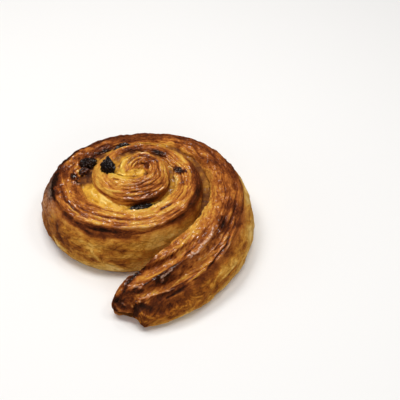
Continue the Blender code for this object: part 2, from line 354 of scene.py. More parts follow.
fine = np.linspace(RIBBON[0, 0], RIBBON[-1, 0], 6000)
spot, _, out = plan(fine)
rim_line = spot + out * outer_offset(fine, 1.0)[:, None]
rim_length = np.concatenate([[0.0], np.cumsum(np.linalg.norm(np.diff(rim_line, axis=0), axis=1))])
turn = np.interp(np.linspace(0.0, rim_length[-1], STATIONS), rim_length, fine)

q_top = np.sin(np.linspace(-1.0, 1.0, TOP_POINTS) * EDGE_CROWDING) / math.sin(EDGE_CROWDING)
level_out = np.linspace(1.0, 0.0, WALL_POINTS + 1)[1:]
level_in = np.linspace(0.0, 1.0, INNER_POINTS + 1)[:-1] ** INNER_CROWDING
share = np.linspace(0.0, 1.0, BASE_POINTS + 2)[1:-1]

T = turn[:, None]
rim_z = top_height(1.0, turn)[:, None]
shoulder_z = top_height(-1.0, turn)[:, None]
floor_out, floor_in = outer_offset(T, 0.0), inner_offset(T, 0.0)
offset = np.hstack([top_offset(T, q_top[None, :]), outer_offset(T, level_out[None, :]),
                    floor_out + (floor_in - floor_out) * share, inner_offset(T, level_in[None, :])])
height = np.hstack([top_height(q_top[None, :], T), rim_z * level_out,
                    0.0 * rim_z * share, shoulder_z * level_in])
POINTS = offset.shape[1]

soften = np.zeros(POINTS)
soften[: TOP_POINTS + WALL_POINTS - SHARP_FOOT] = 1.0
soften[-SHARP_FOOT:] = 1.0
for _ in range(SOFTENING_PASSES):
    for field in (offset, height):
        near = 0.25 * (np.roll(field, 1, axis=1) + np.roll(field, -1, axis=1)) + 0.5 * field
        field += (near - field) * soften
print("grid", STATIONS, "x", POINTS)

# %% [markdown]
# Later steps ask where a column of the grid lies.  Three rows of numbers answer:
# q goes from -1 to 1 across the top, the level goes from 0 at the table to 1 at the
# rim, and across_row runs on down the outer wall, where it reaches 2 at the table.

# %% Columns of the grid
def columns_of(top, wall, base, inner):
    """One row with a value for each column: top, outer wall, base, inner wall."""
    counts = (TOP_POINTS, WALL_POINTS, BASE_POINTS, INNER_POINTS)
    parts = zip((top, wall, base, inner), counts)
    return np.concatenate([np.broadcast_to(value, count) for value, count in parts])[None, :]


q_row = columns_of(q_top, 1.0, 0.0, -1.0)
across_row = columns_of(q_top, 2.0 - level_out, 3.0, -1.0)
level_row = columns_of(1.0, level_out, 0.0, level_in)
is_top, is_wall, is_base, is_inner = (columns_of(*mask)[0] for mask in np.eye(4))
tell("columns on the top and the wall", is_top.sum() + is_wall.sum())

# %% [markdown]
# The two ends close the skin.  The start is rounded by drawing the cross-section in
# while stepping back.  The free end is two rounded lobes: each part of the
# cross-section travels its own reach forward on a quarter circle while it gathers
# towards the nose of its lobe, low over the table.  Underneath, a notch parts the
# lobes, and the outer lobe lifts off the table.

# %% Close both ends
START_ROUND = 3.5
START_SINK = 0.06
START_STEPS = (0.01, 0.05, 0.12, 0.22, 0.35, 0.5, 0.7, 0.88)
LOBES = np.array([  # place across the end in mm, where it gathers, how far it reaches
    (-9, -1, 8), (-4, -0.5, 12.5), (0, 1.5, 14.3), (2.5, 4.6, 13.4), (3.6, 6.8, 10), (4.4, 8.2, 5),
    (5.2, 9, 2.4), (6.5, 10, 3.8), (9, 10.8, 5), (12, 11.6, 4.6), (16, 12.4, 3.2), (19, 13, 2.2),
])
NOSE_HEIGHT = 5.6
NOSE_SNUB = 4.5
TAIL_EXTRA_TURN = 0.04
UNDER_SHIFT = 0.3
UNDER_SHORT = 0.35
NOTCH_UNDER = 3.0
LOW_SHORT = 2.8
LOBE_BULGE = 1.9
LEAST_REACH = 0.2
TAIL_STEPS = np.linspace(0.0, 0.5 * math.pi, 26)[1:-1]

point, along, outward = plan(turn)
body = np.dstack([point[:, None, :] + offset[:, :, None] * outward[:, None, :], height])

u = np.array(START_STEPS)
narrow = np.sqrt(1.0 - (1.0 - u) ** 2)
back = point[0] - along[0] * START_ROUND * (1.0 - u)[:, None]
flat = back[:, None, :] + (narrow[:, None] * offset[0])[:, :, None] * outward[0]
start = np.dstack([flat, height[0] * (1.0 - START_SINK + START_SINK * narrow[:, None])])

v = TAIL_STEPS[:, None]
last = offset[-1]
gather, reach = (np.interp(last - UNDER_SHIFT * is_base, LOBES[:, 0], LOBES[:, n]) for n in (1, 2))
reach = np.convolve(np.pad(reach, 2, mode="wrap"), np.ones(5) / 5.0, mode="valid")
reach = reach * (1.0 - UNDER_SHORT * is_base * (last > 5.0))
reach = reach - NOTCH_UNDER * is_base * bump(last, 3.0, 1.1)
low = (1.0 - ease(0.0, 0.5, level_row[0])) * ease(6.0, 9.0, last)
reach = np.maximum(reach - LOW_SHORT * low, LEAST_REACH)
side = last + (gather - last) * (1.0 - np.cos(v)) ** (1.0 + 2.0 * is_base)
side = side + LOBE_BULGE * is_base * bump(last, 1.2, 1.8) * np.sin(v)
flat = point[-1] + (reach * np.sin(v))[:, :, None] * along[-1] + side[:, :, None] * outward[-1]
over = NOSE_HEIGHT + (height[-1] - NOSE_HEIGHT) * np.cos(v)
below = height[-1] + (NOSE_HEIGHT - height[-1]) * (1.0 - np.cos(v)) ** NOSE_SNUB
end = np.dstack([flat, np.where(height[-1] > NOSE_HEIGHT, over, below)])

skin = np.concatenate([start, body, end])
X, Y, Z = (skin[..., n] for n in range(3))
print("skin", skin.shape)

# %% [markdown]
# Patterns on the ribbon need to know how far along and how far round it a point
# lies, in millimetres, so that a wrinkle is as long at the eye as at the free end.

# %% Distances on the skin
rows_before = len(START_STEPS)
past = turn[-1] + TAIL_EXTRA_TURN * TAIL_STEPS / (0.5 * math.pi)
TR = np.concatenate([np.full(rows_before, turn[0]), turn, past])[:, None]
end_row = np.concatenate([np.zeros(rows_before + STATIONS), np.sin(TAIL_STEPS)])
step_out = np.linalg.norm(np.diff(skin, axis=0), axis=2)
RUN = np.concatenate([[0.0], np.cumsum(step_out[:, TOP_POINTS // 2])])[:, None]
span = np.zeros(skin.shape[:2])
span[:, 1:] = np.cumsum(np.linalg.norm(np.diff(skin, axis=1), axis=2), axis=1)
span -= span[:, [TOP_POINTS // 2]]
tell("length of the ribbon", RUN[-1, 0], "mm")
tell("way round its cross-section", np.ptp(span[400]), "mm")

# %% [markdown]
# ## Strokes that belong to this pastry
# Noise alone gives any pastry.  This one has flake edges, caramel streaks and a
# golden lip in known places.  Each is a stroke along the ribbon through a few
# points, with a width, a height and a change of colour.  A point is a turn and a
# place across the ribbon, counted as in the row across_row.  A stroke is a bell
# across its line and fades at both ends, and it wanders a little so it never looks
# ruled.

# %% Strokes
STROKES = (  # in hundredths: half width, height (mm), added baking, then each point's turn and place
    # the eye and the turn behind it
    (110, 15, 20, -16, -7, -10, 20, -4, 10, 1, -2, 8, -30, 18, -30),
    (55, -40, 30, -12, -72, -5, -60, 4, -62, 15, -70, 21, -88), (130, 10, 36, 9, -16, 11.5, -12, 14, -8),
    (45, -40, 34, 82, -96, 90, -96, 98, -93, 106, -95),
    (160, -15, 26, 86, -62, 93.5, -62, 99, -50, 103, -55), (120, -30, 40, 105, -64, 109, -68, 114, -76),
    (90, 25, -16, 87, 12, 95, 8, 103, -5, 110, -10),
    # the front of the inner turn
    (45, -42, 25, 22, -34, 37, -10, 50, 5, 60, 25, 66, 42),
    (45, -42, 25, 18, 50, 30, 62, 40, 58, 53, 58, 62, 70, 68, 80),
    # the second stroke here: a dark band under the lip, partly browning and partly painted shade
    (70, 45, 4, 22, 94, 30, 95, 40, 95, 51, 94, 63, 95), (75, -20, 42, 34, 110, 43, 110, 51, 110, 61, 109),
    (45, -30, 22, 24, 86, 36, 87, 48, 86, 58, 86), (40, -22, 18, 64, 62, 68, 40, 71, 20, 75, -2),
    (35, -20, 12, 62, 34, 68, 10, 72, -10, 78, -30), (50, -5, 22, 64.2, -27, 66, -26, 68.5, -25),
    # the second turn, east to south
    (50, -40, 28, 118, -68, 123, -60, 128, -50, 134, -35, 138, -12),
    (100, 10, 38, 121, -66, 122.5, -35, 124, -8), (90, 10, 34, 135.5, 12, 138.5, -7, 142, -18),
    (150, 15, -15, 113, 40, 119, 6, 125, 5, 134, 3),
    (140, 15, 24, 116, 50, 123, 62, 127, 68, 131, 75, 136, 82),
    (45, -38, 25, 130, 48, 136, 45, 141, 43, 145.4, 30, 151, 23, 156, 10, 161, 15, 170, 32),
    (50, -45, 26, 136, 68, 143, 62, 150, 56, 158, 48, 165, 52, 173, 52),
    (80, 50, 0, 133, 86, 145, 84, 155, 82, 165, 83, 172, 80),
    (95, -25, 40, 147, 107, 150, 108, 155, 109, 162, 106, 166, 102),
    (40, -30, 24, 136, 102, 142, 103, 146, 103, 149, 102),
    # west, where the glaze browned most
    (130, 20, 50, 175.2, -78, 175.8, -55, 176.6, -32), (120, 20, 50, 172.2, -95, 173.2, -75, 174.5, -55),
    (260, 0, 55, 169.5, 90, 172, 103, 174.5, 92, 177.5, 80),
    (130, 25, 42, 184, -76, 187, -76, 190, -84, 194, -82),
    (80, -20, 30, 179, 88, 184, 80, 188.4, 72, 194, 64, 200, 60),
    # the free end
    (50, 35, -12, 233, -42, 238, -45, 242, -58, 245, -76, 247, -92),
    (60, 30, -20, 229, -97, 234, -96, 240, -96, 244, -96),
    (100, 45, 8, 233, 12, 236, 13, 240, 26, 243, 33, 248, 34),
    (60, 50, -5, 233, 98, 236, 99, 240, 100, 244, 100, 248.8, 100),
    (45, -35, 28, 228, 55, 233, 58, 237, 62, 240, 64), (45, -35, 24, 224, -30, 230, -10, 236, -18),
    (60, -60, 36, 247.4, -94, 248.6, -78, 249.4, -46, 250.2, -10),
    (34, -40, 24, 242, 93, 244, 95, 246, 96, 248, 94), (60, 70, -2, 246.8, 0, 248, 10, 249, 24, 250.2, 36),
    (150, 0, 24, 239.6, -14, 241.2, -6, 242.8, 4), (45, 50, 10, 241, 22, 243, 26, 245, 26, 247, 26),
    (40, -45, 26, 226, 10, 231, 24, 236, 34, 240, 42),
)
FADE = 0.2
WANDER_MM = 0.5
WANDERS_PER_TURN = 26.0


def amount_of(wanted, height_mm, baking):
    """What a stroke or line adds: its height, only its height above the skin, or its baking."""
    return {"height": height_mm, "rise": max(height_mm, 0.0), "bake": baking}[wanted]


def draw_strokes(wanted):
    """Sum of strokes: amount * bell(distance to the stroke's line in mm) * fade at both ends."""
    scale = np.where(across_row > 1.0, held(TR, RIBBON, 5), 0.5 * held(TR, RIBBON, 2))
    total = np.zeros(scale.shape)
    for number, row in enumerate(STROKES):
        width_mm, height_mm, baking, *points = np.array(row) / 100.0
        at, line = np.reshape(points, (-1, 2)).T
        u = (TR - at[0]) / (at[-1] - at[0])
        wander = WANDER_MM * noise(TR * WANDERS_PER_TURN, number * 3.7, 0.0, seed=60)
        away = (across_row - np.interp(TR, at, line)) * scale + wander
        bell = amount_of(wanted, height_mm, baking) * bump(away, 0.0, width_mm)
        total = total + bell * ease(0.0, FADE, u) * ease(0.0, FADE, 1.0 - u)
    return total


print(len(STROKES), "strokes")

# %% [markdown]
# ## Lines round the eye
# At the eye the layers curl so tightly that turns are a poor ruler.  There a line is
# given in millimetres to the right of the eye and above it, as seen by a camera that
# looks down at 45 degrees, where one millimetre back and one millimetre up count the
# same.  A point takes the nearest part of the line, so a line may bend as it likes.

# %% Lines round the eye
EYE_HEIGHT = 38.0
EYE_REACH = 24.0
EYE_FADE = 4.0
LINE_FADE = 0.15
EYE_LINES = (  # half width in mm, height in mm, added baking, then right and up of each point
    (0.55, 0.55, -0.3, -12.3, 2.6, -11.8, 6.1, -10.3, 9.7, -7.8, 12.4, -4.6, 14.5, -1.4, 15.6, 1.8, 15.5,
     4.3, 14.2, 6.8, 11.7),
    (0.45, -0.6, 0.5, -13, 6.1, -11.4, 9.9, -9.3, 12.2, -6.4, 14.3, -3.5, 16),
    (0.55, 0.5, -0.22, -13.9, 6.1, -12.7, 9.2, -10.7, 12.7, -7.8, 15, -4.6, 16.6, -1.4, 17.3, 2.2, 17, 5.4,
     15.7),
    (1.5, -0.1, 0.24, -15.7, 11.7, -12.9, 15.2, -10, 17, -6.4, 18.5, -3.2, 19.3),
    (0.35, -0.4, 0.24, -14.6, 13.2, -11.8, 16.2, -8, 17.8, -4.6, 18.4),
    (0.45, -0.45, 0.3, -8.4, 6.1, -7.5, 8.9, -5.3, 11.4, -3.2, 13.1, -0.3, 13.8, 2.5, 13.1, 4.3, 11.2),
    (0.4, 0.4, -0.26, -7.5, 4.6, -6.2, 7.9, -4.6, 10.2, -2.6, 11.8, 0.4, 12.4),
    (0.35, -0.45, 0.32, -6.4, 4.1, -5, 7.4, -3.5, 9.6, -1.4, 11.2),
    (0.35, 0.4, -0.24, -5.5, 3.6, -4.3, 6.4, -2.8, 8.7, -1.6, 9.8),
    (0.5, -0.6, 0.4, -4.1, 4.1, -3.2, 6.1, -1.8, 7.5, -0.3, 8.2, 1.3, 7.1, 2, 4.6, 2.2, 2.6),
    (0.6, 0.7, -0.1, -1.8, 9.4, 0, 10.4, 1.8, 9.8, 3.3, 7.6),
    (1, 0, 0.3, 2.5, 8.7, 3.6, 6.6, 3.8, 4.6, 3, 2.8), (0.6, 0.3, 0.28, -3.5, 4.1, -3.2, 2.1, -4.1, 0.8),
    # a painted highlight on the tip of the hook
    (0.5, 0.6, -0.36, -7.2, 1, -6, 1.7, -5, 2),
    (0.45, -0.7, 0.5, -16.3, -4.4, -15.2, -5, -13.6, -5.5, -12.1, -6),
    (0.5, -0.4, 0.26, -8.6, -4, -5.7, -3.5, -2.1, -2.7, 0.6, -1.6),
    (1.4, 0, -0.22, -13.9, 1.1, -11.4, -1, -8.6, -2),
    (0.6, 0.7, 0.08, -5, -6.8, -2.1, -5.5, 0.8, -4.3, 3.6, -2),
    (0.4, -0.45, 0.3, -6.4, -8.6, -1.4, -7.3, 2.2, -5.5, 5, -3),
    (0.55, 0.6, 0, -11.1, -11.1, -6.4, -10.1, -1.4, -9.1, 3.3, -6.5, 6.8, -3),
)


def draw_lines(lines, across, up, wanted):
    """Sum of drawn lines: amount * bell(distance to the nearest part of the line) * end fades."""
    total = np.zeros(across.shape)
    for half_width, height_mm, baking, *points in lines:
        line = np.array(points, float).reshape(-1, 2)
        nearest, place = np.full(across.shape, 1e9), np.zeros(across.shape)
        for n, ((ax, ay), (bx, by)) in enumerate(zip(line[:-1], line[1:])):
            part = ((across - ax) * (bx - ax) + (up - ay) * (by - ay)) / ((bx - ax) ** 2 + (by - ay) ** 2)
            part = np.clip(part, 0.0, 1.0)
            away = np.hypot(across - ax - part * (bx - ax), up - ay - part * (by - ay))
            place = np.where(away < nearest, (n + part) / (len(line) - 1), place)
            nearest = np.minimum(away, nearest)
        fade = ease(0.0, LINE_FADE, place) * ease(0.0, LINE_FADE, 1.0 - place)
        total = total + amount_of(wanted, height_mm, baking) * bump(nearest, 0.0, half_width) * fade
    return total


def near_eye(x, y):
    """1 near the eye, 0 far from it."""
    return 1.0 - ease(EYE_REACH - EYE_FADE, EYE_REACH, np.hypot(x - EYE[0], y - EYE[1]))


def eye_lines(x, y, z, wanted):
    """The lines round the eye, for points near it."""
    return near_eye(x, y) * draw_lines(EYE_LINES, x - EYE[0], y - EYE[1] + z - EYE_HEIGHT, wanted)


print(len(EYE_LINES), "lines round the eye")

# %% [markdown]
# ## Lines seen in the photograph
# Elsewhere a wrinkle, a bead of glaze or a dark seam is easiest to give where the
# photograph shows it, in pixels from the left and from the top.  The camera's own
# sums say where it sees each point of the skin, so a line lands on the right spot
# and becomes real relief there, good from every side.  Each group only touches its
# own part of the ribbon, because another turn may lie behind the same pixel.

# %% Where the camera sees a point
def seen_at(x, y, z):
    """Where the camera sees a point, in pixels from the left and from the top of its picture."""
    dx, dy, dz = x - AIM_MM[0] - back_off[0], y - AIM_MM[1] - back_off[1], z - AIM_MM[2] - back_off[2]
    depth = dy * math.cos(LOOK_DOWN) - dz * math.sin(LOOK_DOWN)
    rise = dy * math.sin(LOOK_DOWN) + dz * math.cos(LOOK_DOWN)
    focal = DISTANCE_MM / MM_PER_PIXEL
    return 0.5 * FRAME_PIXELS + focal * dx / depth, 0.5 * FRAME_PIXELS - focal * rise / depth


left_px, top_px = seen_at(*EYE, EYE_HEIGHT)
tell("the eye is seen this far from the left", left_px, "pixels")
tell("and this far from the top", top_px, "pixels")

# %% Lines on the front
FRONT_INNER = (  # half width in pixels, height in mm, added baking, then left and top of each point
    (0.9, 0.5, -0.06, 123, 186, 133, 185, 142, 181, 150, 177, 156, 171),
    (0.7, -0.45, 0.26, 120, 190, 132, 189, 143, 187, 152, 183, 160, 176),
    (0.9, 0.45, -0.12, 122, 193, 132, 194, 142, 191, 152, 187, 160, 181, 163, 174),
    (0.7, -0.45, 0.26, 121, 196, 132, 197, 143, 195, 153, 191),
    (1.2, 0.65, -0.2, 120, 198, 130, 199, 137, 199, 143, 198, 150, 196.5, 156, 193, 162, 188, 166, 183),
    (0.8, 0.4, -0.2, 103, 187, 108, 190, 115, 191, 121, 191.5),
    (0.6, -0.35, 0.26, 94, 179, 95, 185, 99, 190, 105, 194.5, 112, 198, 120, 201),
    (2, 0, -0.24, 96, 180, 99, 187, 106, 192, 114, 197),
    (1.2, 0, -0.2, 92, 184, 96, 191, 103, 196.5, 112, 201),
)
FRONT_OUTER = (
    (0.7, -0.4, 0.24, 83, 203, 96, 206, 106, 210, 118, 213, 130, 214.5),
    (1, 0.5, -0.12, 80, 206, 92, 208, 104, 212, 114, 214.5, 124, 216),
    (0.8, -0.5, 0.26, 88, 212, 98, 214, 108, 217, 118, 218.5, 128, 219.5, 140, 219, 150, 217.5, 160, 214),
    (1, 0.6, -0.15, 128, 216.5, 134, 217.5, 142, 216.5, 150, 215, 158, 212.5),
    (0.9, 0.6, -0.08, 88, 214, 94, 216.5, 102, 219, 110, 221),
    (0.7, -0.4, 0.26, 90, 218, 100, 221, 110, 223.5, 120, 225, 130, 225.5),
    (0.9, 0.45, -0.12, 112, 220.5, 122, 222.5, 132, 223, 142, 222, 150, 221, 160, 218.5, 168, 214),
    (0.7, -0.45, 0.28, 120, 225.3, 135, 225, 148, 223.5, 158, 221, 168, 216, 178, 211, 186, 205),
    (1.2, 0.7, -0.02, 108, 226.5, 118, 227.3, 128, 227.8, 138, 227.3, 148, 226.8, 156, 225.5, 164, 222,
     170, 218),
    (1, 0.5, -0.28, 150, 207, 158, 205, 165, 203, 172, 201.5),
    (1.1, -0.35, 0.36, 159, 209, 164, 207.5, 169, 205.5, 173, 203.5),
    (2.4, 0, 0.26, 163, 222, 172, 222, 180, 219, 187, 214),
    (0.8, -0.4, 0.26, 181, 178, 184, 185, 182, 193, 176, 199),
    # a painted glint
    (1, 0.8, -0.46, 174.5, 175, 177, 179, 176.5, 183, 175, 188),
    (1.6, 0.1, 0.5, 175, 165, 175.5, 170, 179, 172.8, 184, 172, 187, 169.5),
    # the second line here is a painted highlight
    (1.8, 0.3, -0.16, 176, 162, 180, 166, 184, 168.5), (0.8, 0.6, -0.4, 160, 150.5, 163.5, 153, 167, 156.5),
    (0.8, 0.6, -0.3, 163, 199, 167, 196.5, 170, 193.5),
    (0.9, 0.6, -0.28, 120, 208.5, 128, 210.6, 136, 211.4, 144, 211.2, 152, 209.5),
    (0.8, -0.35, 0.24, 186, 178, 188, 187, 186, 196, 180, 202),
    (1.6, 0, 0.14, 84, 222, 90, 226, 98, 229, 106, 230), (3, 0, 0.26, 82, 230, 90, 236, 99, 239, 108, 240),
    (1.4, -0.35, 0.4, 55, 220, 57, 229, 60, 238, 64.5, 246),
    (0.9, 0.3, -0.26, 51, 234, 56, 241, 62, 247, 68, 251), (2.8, 0, 0.3, 63, 211, 68, 216, 74, 219.5),
    (1.5, 0.2, 0.4, 74, 220, 79, 225, 84, 229, 89, 234, 94, 237),
    (1.4, 0.55, -0.34, 74, 213.5, 80, 217, 88, 220.5, 96, 223, 103, 225.5),
    (1.8, 0, 0.26, 88, 231, 100, 231.5, 115, 231.5, 130, 232, 142, 232),
    (2.4, 0, -0.3, 104, 238.5, 116, 239, 126, 238.5, 136, 238), (2.4, 0, 0.2, 66, 236, 69, 241, 71, 247),
    (2.2, 0, 0.22, 78, 235, 84, 239, 90, 242), (1.6, 0.3, -0.26, 131, 236.5, 139, 235.5, 147, 236.5),
    (1, 0.3, -0.24, 90, 249, 94, 254, 99, 260, 105, 264),
    (1, -0.35, 0.26, 106, 261, 114, 261.5, 121, 264, 128, 267.5, 134, 268),
    (1, 0.35, -0.22, 104, 265, 112, 266, 119, 269, 126, 270.5),
    (0.9, -0.3, 0.22, 112, 250, 120, 252, 127, 251),
    (1.8, 0.4, -0.26, 64, 220, 68, 223, 73, 227, 80, 229.5), (1.4, 0.3, -0.2, 66, 238, 72, 241, 80, 247),
    (2.4, 0, -0.16, 74, 250, 84, 255, 92, 258), (2.6, 0, 0.12, 98, 258, 106, 261, 114, 263),
)
print(len(FRONT_INNER) + len(FRONT_OUTER), "lines on the front")

# %% Lines on the left side
WEST_LINES = (
    (1, -0.45, 0.4, 60.5, 184, 61.5, 191, 64, 198, 68, 205),
    (1, -0.45, 0.36, 70, 206, 74, 209.5, 78, 212.5, 84, 216, 91, 219.5),
    (0.9, 0.5, -0.3, 66, 203, 70, 207.5, 74.5, 211.5, 80, 215),
    (1, 0.3, 0.3, 62, 190, 65, 196, 68, 201, 71, 205), (2, -0.2, 0.34, 71, 173.5, 73, 177, 75, 181),
    # the second line here is a painted glint
    (1.3, 0.45, 0.42, 74, 181, 77, 183.5, 80.5, 186), (0.6, 0.6, -0.4, 75, 183, 77.5, 184.3, 80, 185.5),
    (3.6, 0, 0.16, 71, 185, 75, 191, 80, 196), (3, 0, -0.16, 63, 176, 66, 183, 69, 192, 73, 200),
    (5, 0, -0.14, 68, 160, 74, 163, 77, 170),
    (0.9, -0.3, 0.36, 76, 150, 70, 154, 64, 160, 60, 166, 58.5, 172),
    (0.8, 0.5, -0.2, 79, 153, 73, 157, 67, 162, 63, 168),
    # the second line here is a painted highlight
    (1.5, 0.5, 0.4, 96, 155, 101, 152.5, 106, 150.5, 109, 149.5), (0.7, 0.7, -0.5, 100, 154, 104, 153),
    (0.9, -0.3, 0.34, 80, 149, 88, 145.5, 96, 142.5, 104, 140, 113, 138),
    (1.6, 0.3, -0.2, 82, 151, 92, 147, 103, 143.5, 113, 141),
    (0.8, -0.35, 0.24, 96, 148.5, 104, 146, 111, 144.5),
    (2.8, 0, 0.3, 106, 140.5, 116, 139, 128, 138.2, 140, 138, 155, 138.5, 172, 140),
    (0.7, -0.35, 0.26, 118, 141, 130, 140.5, 144, 141, 158, 142, 170, 144),
    (0.8, 0.5, -0.34, 77, 170, 78.5, 174, 80, 177), (0.7, 0.6, -0.44, 70, 164.5, 73, 164.2),
    (1.2, 0.3, 0.3, 79.5, 157, 78.5, 161, 79, 166),
)
print(len(WEST_LINES), "lines on the left side")

# %% Lines on the free end
TAIL_LINES = (
    # the crease beside the inner shoulder, dark partly with painted shade under the lip, and the pale lip
    # above it
    (0.8, -0.6, 0.36, 200, 234, 195, 239, 190, 243, 184, 246.5, 178, 250, 172, 254.5, 166, 258.5, 160, 261),
    (0.8, 0.5, -0.2, 186, 244.5, 176, 250.5, 170, 253.5, 164, 257, 157, 260),
    (1.8, -0.2, 0.26, 177, 256, 173, 257, 168, 260),
    (0.8, 0.6, -0.1, 166, 249, 161, 252.5, 157, 256.5, 151, 261),
    # a painted highlight
    (0.7, 0.7, -0.3, 156.5, 256, 156.3, 259, 157.2, 261.5),
    (1.8, -0.5, 0.36, 149, 265, 141, 270, 134, 276, 130, 281, 127, 285),
    # terrace A: olive floor, dark line below, pale lip at its lower end
    (2.6, -0.2, 0, 174, 263, 162, 268, 152, 273, 142, 279, 134, 284),
    (0.9, 0.2, -0.2, 170, 267, 160, 272, 150, 278, 142, 282),
    (0.8, -0.6, 0.36, 181, 260, 176, 264.5, 168, 269, 160, 274, 152, 279.5, 146, 284, 141, 286.5),
    (0.9, 0.7, -0.2, 131, 288.5, 134.5, 287.3, 138, 286.6, 143, 287.5),
    # the main ridge with its beads of glaze, which also get painted highlights
    (1.4, 0.9, -0.08, 214, 220, 213, 230, 209, 238, 204, 243, 200, 248, 196, 252, 190, 256.5, 185, 260),
    (1.8, -0.2, 0.2, 182, 264, 176, 268, 170, 273, 160, 279, 150, 284),
    (0.9, 0.9, -0.12, 174, 269, 170, 271, 165, 275, 159, 277.5),
    (0.7, 0.6, -0.26, 178, 271.5, 173, 274.5, 166, 278, 161, 282.5, 156, 285.5, 152, 287.5),
    (1, -0.5, 0.26, 176, 274, 168, 275.8, 162, 279.5),
    (2, -0.3, 0.26, 170, 279.5, 162, 284, 154, 287, 146, 287),
    (0.9, 0.55, -0.1, 218, 228, 222, 236, 219, 243, 212, 250, 206, 255, 198, 259, 190, 261),
    (0.9, 0.65, -0.16, 227, 231, 228, 235, 224, 241, 220, 247),
    (1.3, -0.2, 0.3, 191, 251, 187, 253, 184, 257), (0.9, -0.5, 0.36, 193, 266, 190, 268, 188, 268.5),
    # terrace B: its floor, golden lip and the double line below
    (1.2, 0.4, -0.24, 207, 267, 200, 272.5, 195, 277, 189, 281.5, 183, 284.5),
    (1.6, 0, -0.2, 188, 276, 180, 280, 172, 283, 164, 287),
    (0.9, 0.6, -0.1, 178, 286.5, 172, 289.5, 164, 292, 156, 294, 150, 296),
    (1.6, 0.3, -0.14, 158, 294, 152, 293, 150.5, 291),
    (0.7, -0.6, 0.5, 231, 234, 229, 238, 226, 245, 222, 250, 218, 255, 213, 262, 208, 268, 203, 272),
    (0.9, 0.6, -0.22, 231.5, 237, 228, 245, 223.5, 252, 218.5, 257, 214, 262),
    (0.6, -0.6, 0.5, 199, 275, 192, 281, 186, 285.5, 180, 289, 172, 292.5, 165, 296),
    (0.6, -0.6, 0.5, 187, 287, 180, 291.5, 172, 295.5, 165, 298.5),
    (0.7, 0.6, -0.3, 188, 285.5, 182, 291.5, 176, 295.2, 168, 298.3, 161, 300.8),
    # the part beside the coil that browned most, darkened further with painted shadow
    (6, 0, 0.26, 226, 200, 234, 207, 242, 215), (3, 0, 0.24, 221, 214, 222, 222, 221, 232),
    (2.6, 0, 0.22, 234, 222, 239, 225, 243, 222),
    # the right lobe
    (3.2, 0, 0.3, 139, 303, 144, 306, 150, 309, 154, 312),
    # painted highlights, in these two lines
    (0.9, 0.7, -0.4, 138.8, 300.5, 139.8, 301.6, 141, 302.4),
    (0.6, 0.5, -0.34, 144, 301.8, 147, 303, 150.5, 304), (0.8, 0.6, -0.4, 156, 315.2, 158.3, 316, 160, 317),
    (0.8, 0.5, -0.3, 140, 311, 144, 315, 149, 317.5, 156, 318.2),
    (2.6, 0, -0.3, 142, 322, 150, 323, 160, 321, 170, 317), (0.7, -0.4, 0.3, 139, 314, 141, 319, 142, 324),
    # the left lobe
    (1.6, -0.3, 0.34, 128, 284, 125, 289, 123, 294, 118, 299, 114, 303),
    (2.2, 0.2, -0.3, 122, 287, 119.5, 292, 116.5, 297),
    (0.8, 0.5, -0.3, 121, 302, 124, 304.3, 127.5, 305.8),
    (0.9, 0.5, -0.4, 131, 304.5, 132.5, 306, 133.3, 307.5), (2.8, 0, -0.2, 139, 294, 137, 299, 134, 303),
    (2.6, 0, -0.26, 118, 311, 124, 313.5, 131, 313), (0.9, -0.6, 0.4, 134, 307, 136.5, 311, 138, 314),
    (3, 0, 0.34, 122, 293, 129, 293, 137, 291, 146, 290), (2.6, 0, 0.34, 130, 297, 134, 300, 136, 303),
    (2.4, 0, -0.2, 146, 263, 139, 269, 133, 274), (1.6, 0, 0.3, 139, 295, 140, 298, 139, 301),
    (2.4, 0.2, -0.34, 140, 312, 140, 318, 141.5, 324), (1.6, 0, -0.24, 135.5, 317, 137.5, 321, 139.5, 325),
    (2, 0.3, -0.24, 115, 307, 118, 309, 122, 311),
    # the outer wall of the tail, paler below its middle
    (5, 0, -0.24, 206, 286, 216, 279, 228, 266, 236, 256), (5, 0, 0.2, 248, 204, 249, 214, 248, 226),
    (4, 0, 0.16, 166, 306, 174, 304, 184, 300),
    # thin folds low on the tail's wall
    (0.7, 0.4, -0.22, 184, 306, 180, 308.3, 176, 306),
    (0.7, 0.45, -0.26, 237, 261, 232, 267.5, 225, 276, 218, 284),
    (0.7, -0.4, 0.22, 238.5, 262.5, 233.5, 269, 227, 277), (0.7, 0.4, -0.24, 222, 271, 218, 276, 214, 283),
    (0.7, -0.4, 0.2, 214, 277, 210, 284, 205, 289),
)
print(len(TAIL_LINES), "lines on the free end")

# %% Draw the lines on their parts
PICTURE_LINES = (  # first turn, last turn, lines seen on that part of the ribbon
    (0.22, 0.80, FRONT_INNER),
    (1.18, 1.80, FRONT_OUTER),
    (1.60, 2.16, WEST_LINES),
    (2.26, 2.60, TAIL_LINES),
)
skin_seen = seen_at(X, Y, Z)


def picture_lines(wanted):
    """The lines that the photograph shows, each on its own part of the ribbon."""
    total = np.zeros(Z.shape)
    for first, last_turn, lines in PICTURE_LINES:
        rows = np.nonzero((TR[:, 0] > first) & (TR[:, 0] < last_turn))[0]
        part = slice(rows[0], rows[-1] + 1)
        total[part] += draw_lines(lines, skin_seen[0][part], skin_seen[1][part], wanted)
    return total


seen_rise = picture_lines("rise")
tell("highest bead or lip", seen_rise.max(), "mm")

# %% [markdown]
# ## Patterns with a size
# Every texture of the dough is noise of some kind, stretched to a patch size in
# millimetres.  Three short helpers say where it lies: along and across the ribbon,
# on the upright wall, or anywhere in space.  In the sums that follow a plain number
# in front of a pattern is an amount: millimetres of relief here, shares of baking
# further on.

# %% Textures by size
def surface_normals(grid):
    """Unit normals of a grid: the cross product of its two direction differences."""
    down = np.gradient(grid, axis=0)
    across = np.roll(grid, -1, axis=1) - np.roll(grid, 1, axis=1)
    normal = np.cross(down, across)
    return normal / np.maximum(np.linalg.norm(normal, axis=2, keepdims=True), 1e-9)


def sheets(position, drop=0.18):
    """Stacked sheet edges: a soft rise over each unit, then a sudden drop."""
    part = position - np.floor(position)
    return part**0.8 * (1.0 - ease(1.0 - drop, 1.0, part))


